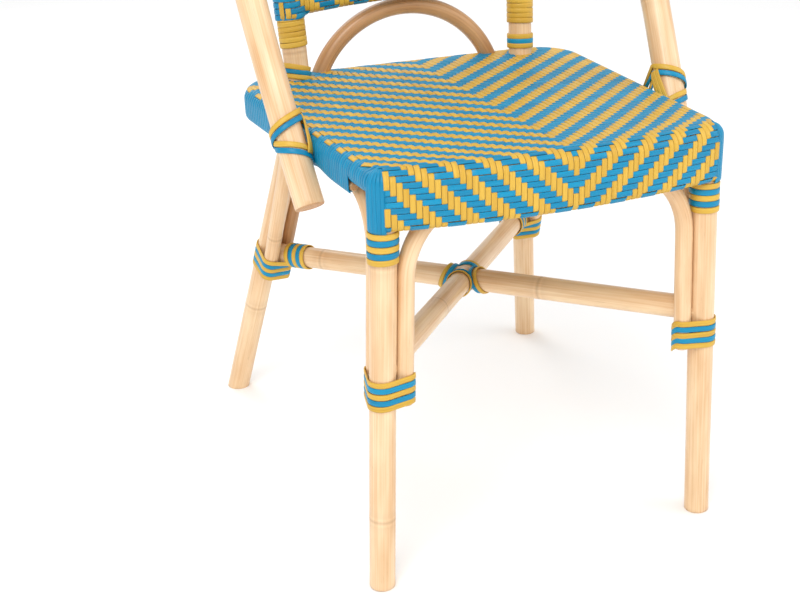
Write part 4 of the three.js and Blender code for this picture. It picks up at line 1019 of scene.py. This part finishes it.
def panel_columns():
    batch = Batch()
    for column in range(-PANEL_COLUMNS, PANEL_COLUMNS + 1):
        x = column_x(column, RAIL_CENTRE)
        high = panel_high(x)
        tall = vec(0, 0, RAIL_CENTRE + math.sqrt(TOP_OUTER ** 2 - x ** 2) - high)
        laid = face_column(column, 1)
        laid += round_rail(x, high, tall, face_off(x, high), np.linspace(0, 1, 12))
        laid += face_column(column, -1)
        low_x = column_x(column, PANEL_BOTTOM)
        on_post = beyond_edge(low_x, PANEL_BOTTOM) > -POST_REACH * 0.9
        if on_post:
            spot = vec(low_x, panel_y(WRAP_TOP), WRAP_TOP)
            tuck = math.sqrt(max((REAR_RADIUS + 0.4) ** 2 - beyond_edge(low_x, WRAP_TOP) ** 2, 0.0))
            first, last = spot + PANEL_FRONT * tuck, spot - PANEL_FRONT * tuck
            laid = [(first, laid[0][1]), *laid, (last, laid[-1][1])]
        else:
            down, turns = vec(0, 0, -LOW_REACH), np.linspace(0.75, 0.25, 3)
            laid += round_rail(low_x, panel_low(low_x), down, LOW_REACH, turns)
        wide = (RAIL_BEND + COLUMN_SPREAD) / PANEL_COLUMNS * TIGHT
        ribbon(batch, laid, wide, 500 + column, closed=not on_post)
    batch.build("panel_columns_yellow", YELLOW, ["panel_weave"])


def panel_rows():
    batch = Batch()
    for row in range(-LOW_ROWS, PANEL_ROWS):
        laid = []
        edge_z = row_height(row, post_at(RAIL_CENTRE)[0])
        reach, level = edge_reach(edge_z) + 0.3, max(edge_z - RAIL_CENTRE, 0.0)
        half = post_at(edge_z)[0] if level == 0 else math.sqrt(max(RAIL_BEND ** 2 - level ** 2, 0.0))
        outer = math.sqrt((RAIL_BEND + reach) ** 2 - level ** 2) if level else half + reach
        for front in (1, -1):
            for column in range(-PANEL_COLUMNS, PANEL_COLUMNS + 1)[::front]:
                lift = -LAYER if panel_over(column, row) else LAYER
                for nudge in NUDGES:
                    x = column_x(column + front * nudge, row_height(row, 0.0))
                    z = row_height(row, x)
                    if beyond_edge(x, z) < edge_reach(z) * 0.85:
                        laid.append(panel_spot(x, z, front, lift))
            beyond, turns = vec(front * (outer - half), 0, 0), np.linspace(0.38, 0.62, 5)
            laid += round_rail(front * half, edge_z, beyond, front * reach, turns)
        ribbon(batch, laid, PANEL_PITCH * TIGHT, 600 + row, closed=True)
    batch.build("panel_rows_blue", BLUE)


panel_columns()
panel_rows()


# Leg lashings. Flat strand wound round the canes that meet, yellow and blue by turns,
# and pulled tight. Five turns bind the top of each front leg, and five more bind the
# leg to its front and side brace.
LASH_REACH = 0.45 + STRAND_THICK / 2
ROUND_SPOTS, TURN_SPOTS, WANDER = 360, 64, 0.012
YELLOW_TURN, BLUE_TURN = 0, 1
STRIPES = (YELLOW_TURN, BLUE_TURN, YELLOW_TURN, BLUE_TURN, YELLOW_TURN)
FIVE = np.arange(5) * 6.4 + 3.2


def tight_loop(sticks, origin, axis):
    """A loop stretched round sticks in the plane square to an axis, and its facing."""
    axis = unit(axis)
    first = unit(np.cross(axis, vec(0.13, 1.0, 0.21)))
    second = np.cross(axis, first)
    angles = np.linspace(0, TAU, ROUND_SPOTS, endpoint=False)
    out = np.cos(angles)[:, None] * first + np.sin(angles)[:, None] * second
    found = []
    for point, way, radius in sticks:
        along = np.dot(way, axis)
        centre = point + way * (np.dot(origin - point, axis) / along)
        slant = way / along - axis
        spread = radius ** 2 * (out + np.outer(out @ slant, slant))
        size = np.sqrt(np.sum(spread * out, axis=1, keepdims=True))
        found.append(centre + spread / size + out * LASH_REACH)
    found = np.array(found)
    best = np.argmax(np.sum(found * out, axis=2), axis=0)
    points = found[best, np.arange(ROUND_SPOTS)]
    points = np.concatenate([points, points[:1]])
    facing = np.concatenate([out, out[:1]])
    lengths = lengths_along(points)
    places = np.linspace(0, lengths[-1], TURN_SPOTS, endpoint=False)
    return at_lengths(points, lengths, places), unit(at_lengths(facing, lengths, places))


class Lash:
    """The turns of one lashing, gathered by colour."""

    def __init__(self, seed):
        self.batches = (Batch(), Batch())
        self.seed, self.turns = seed, 0

    def turn(self, colour, laid, side, wide, closed=True):
        self.turns += 1
        ribbon(self.batches[colour], on_side(laid, side), wide, self.seed + self.turns, closed)

    def loops(self, sticks, origins, axis, colours, side=1, wide=6.0, shape=None):
        """One closed turn at each origin; shape may bend a turn before it is laid."""
        rng = np.random.default_rng(self.seed)
        for origin, colour in zip(origins, colours):
            path, facing = tight_loop(sticks, origin, unit(axis) + rng.normal(0, WANDER, 3))
            if shape:
                path = shape(path, facing)
            self.turn(colour, np.stack([path, facing], axis=1), side, wide)

    def build(self, name):
        """One mesh for each colour, in the place of the CAD piece of the same name."""
        nodes = [name]
        for batch, colour, material in zip(self.batches, ("yellow", "blue"), (YELLOW, BLUE)):
            if batch.count:
                batch.build(f"{name}_{colour}", material, nodes)
                nodes = ()


def stick(start, end, radius):
    return start, unit(end - start), radius


LOWER_TOP, UNDER_DIP = 240.0, 9.0
INNER = vec(-0.6, 0.8, 0)


def under_stretcher(path, facing):
    """On the leg's inner side the turns dip below the stretcher's end."""
    dip = UNDER_DIP * np.maximum(facing @ INNER, 0.0) ** 2
    return path - dip[:, None] * vec(0, 0, 1)


LEG_WAY = unit(vec(-FRONT_LEAN, 0, 1))
LEG_STICK = (front_leg_at(0), LEG_WAY, FRONT_RADIUS)
BRACE_STICK = (front_leg_at(0) + BESIDE_LEG, LEG_WAY, BRACE_RADIUS)
SIDE_STICK = stick(SIDE_BRACE[0], SIDE_BRACE[1], SIDE_BRACE_RADIUS)
held = [LEG_STICK, BRACE_STICK, SIDE_STICK]
for word, side in SIDES:
    lash = Lash(900 + side)
    origins = [front_leg_at(TOP_LASH_Z + d) for d in FIVE]
    lash.loops([LEG_STICK], origins, vec(0.01, 0.03, 1), STRIPES, side)
    lash.build(f"front_top_lash_{word}")
    lash = Lash(920 + side)
    origins = [front_leg_at(LOWER_TOP - d) for d in FIVE]
    lash.loops(held, origins, vec(0.02, 0.01, 1), STRIPES, side, shape=under_stretcher)
    lash.build(f"front_lower_lash_{word}")


# Rear lashings and stretcher ties. Five turns bind each rear leg to the ends of the rear
# and side braces and to the stretcher, and five more lie round the stretcher itself.
TIE_START, REAR_LASH_Z = 37.0, 197.5


def tie_place(distance):
    """A point on the stretcher that ends at the right-hand rear leg."""
    front, rear = mirror(STRETCHER)
    return rear + unit(front - rear) * distance


REAR_STICK = (rear_leg_at(0), unit(-REAR_DOWN), REAR_RADIUS)
REAR_END_STICK = (REAR_BRACE_LOW, unit(-REAR_DOWN), BRACE_RADIUS)
SIDE_END_STICK = stick(SIDE_BRACE[-1], SIDE_BRACE[-2], SIDE_BRACE_RADIUS)
for word, side in SIDES:
    lash = Lash(940 + side)
    for distance, colour in zip(FIVE, STRIPES):
        origin = rear_leg_at(REAR_LASH_Z + distance * 0.95)
        off = np.dot(tie_place(TIE_START) - origin, -REAR_DOWN)
        room = math.sqrt(max(STRETCHER_RADIUS ** 2 - off ** 2, 16.0))
        held = [REAR_STICK, REAR_END_STICK, SIDE_END_STICK]
        held.append((tie_place(TIE_START - 2.0), unit(-REAR_DOWN), room))
        lash.loops(held, [origin], -REAR_DOWN, [colour], side)
    lash.build(f"rear_lash_{word}")
    lash = Lash(960 + side)
    way = tie_place(1.0) - tie_place(0.0)
    held = [(tie_place(0.0), unit(way), STRETCHER_RADIUS + 0.6)]
    origins = [tie_place(TIE_START + d * 0.93) for d in FIVE]
    lash.loops(held, origins, way + vec(0, 0, 0.1), STRIPES, side)
    lash.build(f"stretcher_tie_{word}")


# Post wraps and lashes. Six yellow turns close the panel's lower corner round each post,
# and three turns bind the post where it leaves the seat, the left ones aslant.
WRAP_LOW, STRAND_WIDE, LASH_STEP = 491.0, 5.9, 5.6
POST_STICK = [(post_at(KNEE), unit(POST_SLOPE), REAR_RADIUS)]
for word, side in SIDES:
    lash = Lash(980 + side)
    origins = [post_at(z) for z in WRAP_LOW + STRAND_WIDE * np.arange(6)]
    lash.loops(POST_STICK, origins, POST_SLOPE + vec(0.03, 0, 0), [YELLOW_TURN] * 6, side)
    lash.build(f"post_wrap_{word}")
    lash = Lash(1000 + side)
    tilt, low = (vec(-0.3, 0.1, 0), 452.5) if side < 0 else (vec(0, 0, 0), 461.0)
    origins = [post_at(low + LASH_STEP * k) for k in range(3)]
    lash.loops(POST_STICK, origins, POST_SLOPE + tilt, STRIPES[:3], side)
    lash.build(f"post_lash_{word}")


# Side lashings. Two crossed pairs of turns hold each end of the hoop to the seat's side,
# and three upright turns between pole and seat draw them together.
HOOP_WAY = unit(HALF_HOOP[2] - HALF_HOOP[1])
HOOP_OUT = unit(vec(1, 0, 0) - HOOP_WAY * HOOP_WAY[0])
HOOP_BACK = np.cross(HOOP_WAY, HOOP_OUT)
SEAT_END, OUTER, BEHIND_POLE = -168.0, 10.0, 176.0
CROSSED_WIDE, UPRIGHT_WIDE, UPRIGHT_TUCK = 5.6, 4.6, 2.4


def hoop_at(z):
    foot = HALF_HOOP[:FOOT_SPOTS]
    return vec(np.interp(z, foot[:, 2], foot[:, 0]), hoop_y(z), z)


def round_hoop(degrees, z, reach):
    """A place on the right-hand pole: 0 degrees faces out and -90 to the front."""
    turn = math.radians(degrees)
    out = HOOP_OUT * math.cos(turn) + HOOP_BACK * math.sin(turn)
    return hoop_at(z) + out * (HOOP_RADIUS + reach), out


def tucked_in(spot, back, z):
    """Where the end of a turn goes in under the strands at the seat's edge."""
    return vec(min(side_x(spot[1]) - 5.0, spot[0] - 2.0), spot[1] + back, z)


def crossed_turn(lash, colour, seat_z, outer_z, layer, side):
    """From the seat's edge across the pole's front, round its outside and back in behind."""
    laid = []
    for degrees in np.linspace(SEAT_END - 8.0, BEHIND_POLE, 56):
        z = seat_z + (outer_z - seat_z) * (degrees - SEAT_END) / (OUTER - SEAT_END)
        laid.append(round_hoop(degrees, z, LASH_REACH + layer))
    (first, first_way), (last, last_way) = laid[0], laid[-1]
    first = tucked_in(first, 4.0, min(first[2] - 3.0, SEAT_TOP - 4.0))
    last = tucked_in(last, -4.0, np.clip(last[2], RIM_BOTTOM + 4.0, SEAT_TOP - 6.0))
    laid = [(first, first_way), *laid, (last, last_way)]
    lash.turn(colour, laid, side, CROSSED_WIDE, closed=False)


def upright_turn(lash, top, low, side):
    """Down over the crossed turns, with both ends tucked in; top and low are degrees and height."""
    laid = []
    for share in np.linspace(0, 1, 14):
        degrees, z = (a + (b - a) * share for a, b in zip(top, low))
        tuck = UPRIGHT_TUCK * (2 * share - 1) ** 6
        laid.append(round_hoop(degrees, z, LASH_REACH + 2 * STRAND_THICK - tuck))
    lash.turn(YELLOW_TURN, laid, side, UPRIGHT_WIDE, closed=False)


for word, side in SIDES:
    lash = Lash(1020 + side)
    crossed_turn(lash, YELLOW_TURN, 429.6, 445.5, 0.0, side)
    crossed_turn(lash, BLUE_TURN, 423.0, 440.0, 0.0, side)
    crossed_turn(lash, YELLOW_TURN, 468.0, 452.0, STRAND_THICK, side)
    crossed_turn(lash, BLUE_TURN, 462.0, 446.4, STRAND_THICK, side)
    for degrees in (-158.0, -171.0, -184.0):
        upright_turn(lash, (degrees, 465.0), (degrees + 26.0, 428.0), side)
    lash.build(f"side_lash_{word}")


# Hoop ties. Three ties of three turns each hold the arched top of the panel to the hoop,
# where the two come close to each other.
TIE_SPREAD, TIE_WIDE = 88.0, 5.4
for word, x in (("left", -TIE_SPREAD), ("centre", 0.0), ("right", TIE_SPREAD)):
    lean = math.asin(x / RAIL_BEND)
    rail_z = RAIL_CENTRE + RAIL_BEND * math.cos(lean)
    rail = vec(x, panel_y(rail_z), rail_z)
    run = unit(vec(math.cos(lean), -POST_SLOPE[1] * math.sin(lean), -math.sin(lean)))
    from_spring = math.atan2(x, rail_z - HOOP_SPRING)
    cos, sin = math.cos(from_spring), math.sin(from_spring)
    hoop_z = HOOP_SPRING + HOOP_HALF * cos
    pole = vec(HOOP_HALF * sin, hoop_y(hoop_z), hoop_z)
    pole_run = unit(vec(cos, -HOOP_LEAN * sin, -sin))
    held = [(rail, run, TOP_RAIL + ROOM + SKIN + 0.6), (pole, pole_run, HOOP_RADIUS + 0.4)]
    origins = [rail + run * d for d in (-LASH_STEP, 0.0, LASH_STEP)]
    lash = Lash(1040 + int(x))
    lash.loops(held, origins, run, STRIPES[:3], wide=TIE_WIDE)
    lash.build(f"hoop_tie_{word}")


# Crossing lashing. Leaning turns bind the stretchers on both sides of their crossing,
# and the turns on the stretcher that comes to the front hide the halved joint.
share = STRETCHER[0][0] / (STRETCHER[0][0] - STRETCHER[1][0])
CROSSING = STRETCHER[0] + (STRETCHER[1] - STRETCHER[0]) * share
LONG_WAY, SHORT_WAY = unit(STRETCHER[0] - STRETCHER[1]), unit(mirror(STRETCHER[1] - STRETCHER[0]))
LONG_TURNS = ((-23.0, YELLOW_TURN), (-17.0, BLUE_TURN), (17.5, BLUE_TURN), (23.5, YELLOW_TURN))
SHORT_TURNS = ((-17.0, BLUE_TURN), (-22.5, YELLOW_TURN), (17.5, BLUE_TURN), (23.0, YELLOW_TURN))
lash = Lash(1100)
for way, lean, turns in ((LONG_WAY, 0.42, LONG_TURNS), (SHORT_WAY, 0.35, SHORT_TURNS)):
    held = [(CROSSING, way, STRETCHER_RADIUS + PRESSED)]
    for distance, colour in turns:
        axis = way + vec(0, 0, math.copysign(lean, distance))
        lash.loops(held, [CROSSING + way * distance], axis, [colour], wide=5.2)
lash.build("crossing_lash")


# Floor, light and camera. A pale floor under a white sky, with three round lamps. The
# camera stands where the photograph's camera was found to stand, in the CAD's mm.
FLOOR_HALF, AIM_HEIGHT, SKY_STRENGTH = 6.0, 0.42, 0.85
LAMPS = (
    ("key_light", (-1.5, -2.2, 2.9), 2.2, 62.0),
    ("fill_light", (2.4, -1.6, 1.9), 2.4, 22.0),
    ("back_light", (-0.6, 2.6, 2.6), 2.2, 26.0),
)
CAMERA_PLACE, CAMERA_LENS = vec(-522.74, -1227.49, 787.93), 56.75
AZIMUTH, ELEVATION, ROLL = (math.radians(degrees) for degrees in (-19.31, 23.10, -2.08))


def put_in_scene(name, data):
    thing = bpy.data.objects.new(name, data)
    bpy.context.scene.collection.objects.link(thing)
    return thing


def lay_floor():
    mesh = bpy.data.meshes.new("floor")
    corners = [(x * FLOOR_HALF, y * FLOOR_HALF, 0) for x, y in ((-1, -1), (1, -1), (1, 1), (-1, 1))]
    mesh.from_pydata(corners, [], [(0, 1, 2, 3)])
    material, shader = new_material("pale_floor", 0.75, 0.2)
    shader.inputs["Base Color"].default_value = (0.97, 0.97, 0.97, 1.0)
    mesh.materials.append(material)
    floor = put_in_scene("floor", mesh)


def light_up():
    world = bpy.data.worlds.new("studio")
    bpy.context.scene.world = world
    world.use_nodes = True
    sky = world.node_tree.nodes["Background"].inputs
    sky["Color"].default_value = (1.0, 1.0, 1.0, 1.0)
    sky["Strength"].default_value = SKY_STRENGTH
    for name, place, wide, power in LAMPS:
        lamp = bpy.data.lights.new(name, "AREA")
        lamp.shape, lamp.size, lamp.energy = "DISK", wide, power
        thing = put_in_scene(name, lamp)
        thing.location = place
        aim = Vector(vec(0.0, 0.0, AIM_HEIGHT) - vec(*place))
        thing.rotation_euler = aim.to_track_quat("-Z", "Y").to_euler()
    bpy.context.scene.view_settings.view_transform = "Standard"


def set_up_camera():
    camera = bpy.data.cameras.new("camera")
    camera.sensor_width, camera.lens, camera.clip_start = 36.0, CAMERA_LENS, 0.05
    level = math.cos(ELEVATION)
    back = vec(math.sin(AZIMUTH) * level, -math.cos(AZIMUTH) * level, math.sin(ELEVATION))
    right = vec(math.cos(AZIMUTH), math.sin(AZIMUTH), 0.0)
    up = np.cross(right, -back)
    tilted = right * math.cos(ROLL) + up * math.sin(ROLL)
    upright = up * math.cos(ROLL) - right * math.sin(ROLL)
    turn = Matrix([(tilted[i], upright[i], back[i]) for i in range(3)]).to_4x4()
    turn.translation = tuple(to_frame(CAMERA_PLACE))
    thing = put_in_scene("camera", camera)
    thing.matrix_world = turn
    bpy.context.scene.camera = thing


lay_floor()
light_up()
set_up_camera()

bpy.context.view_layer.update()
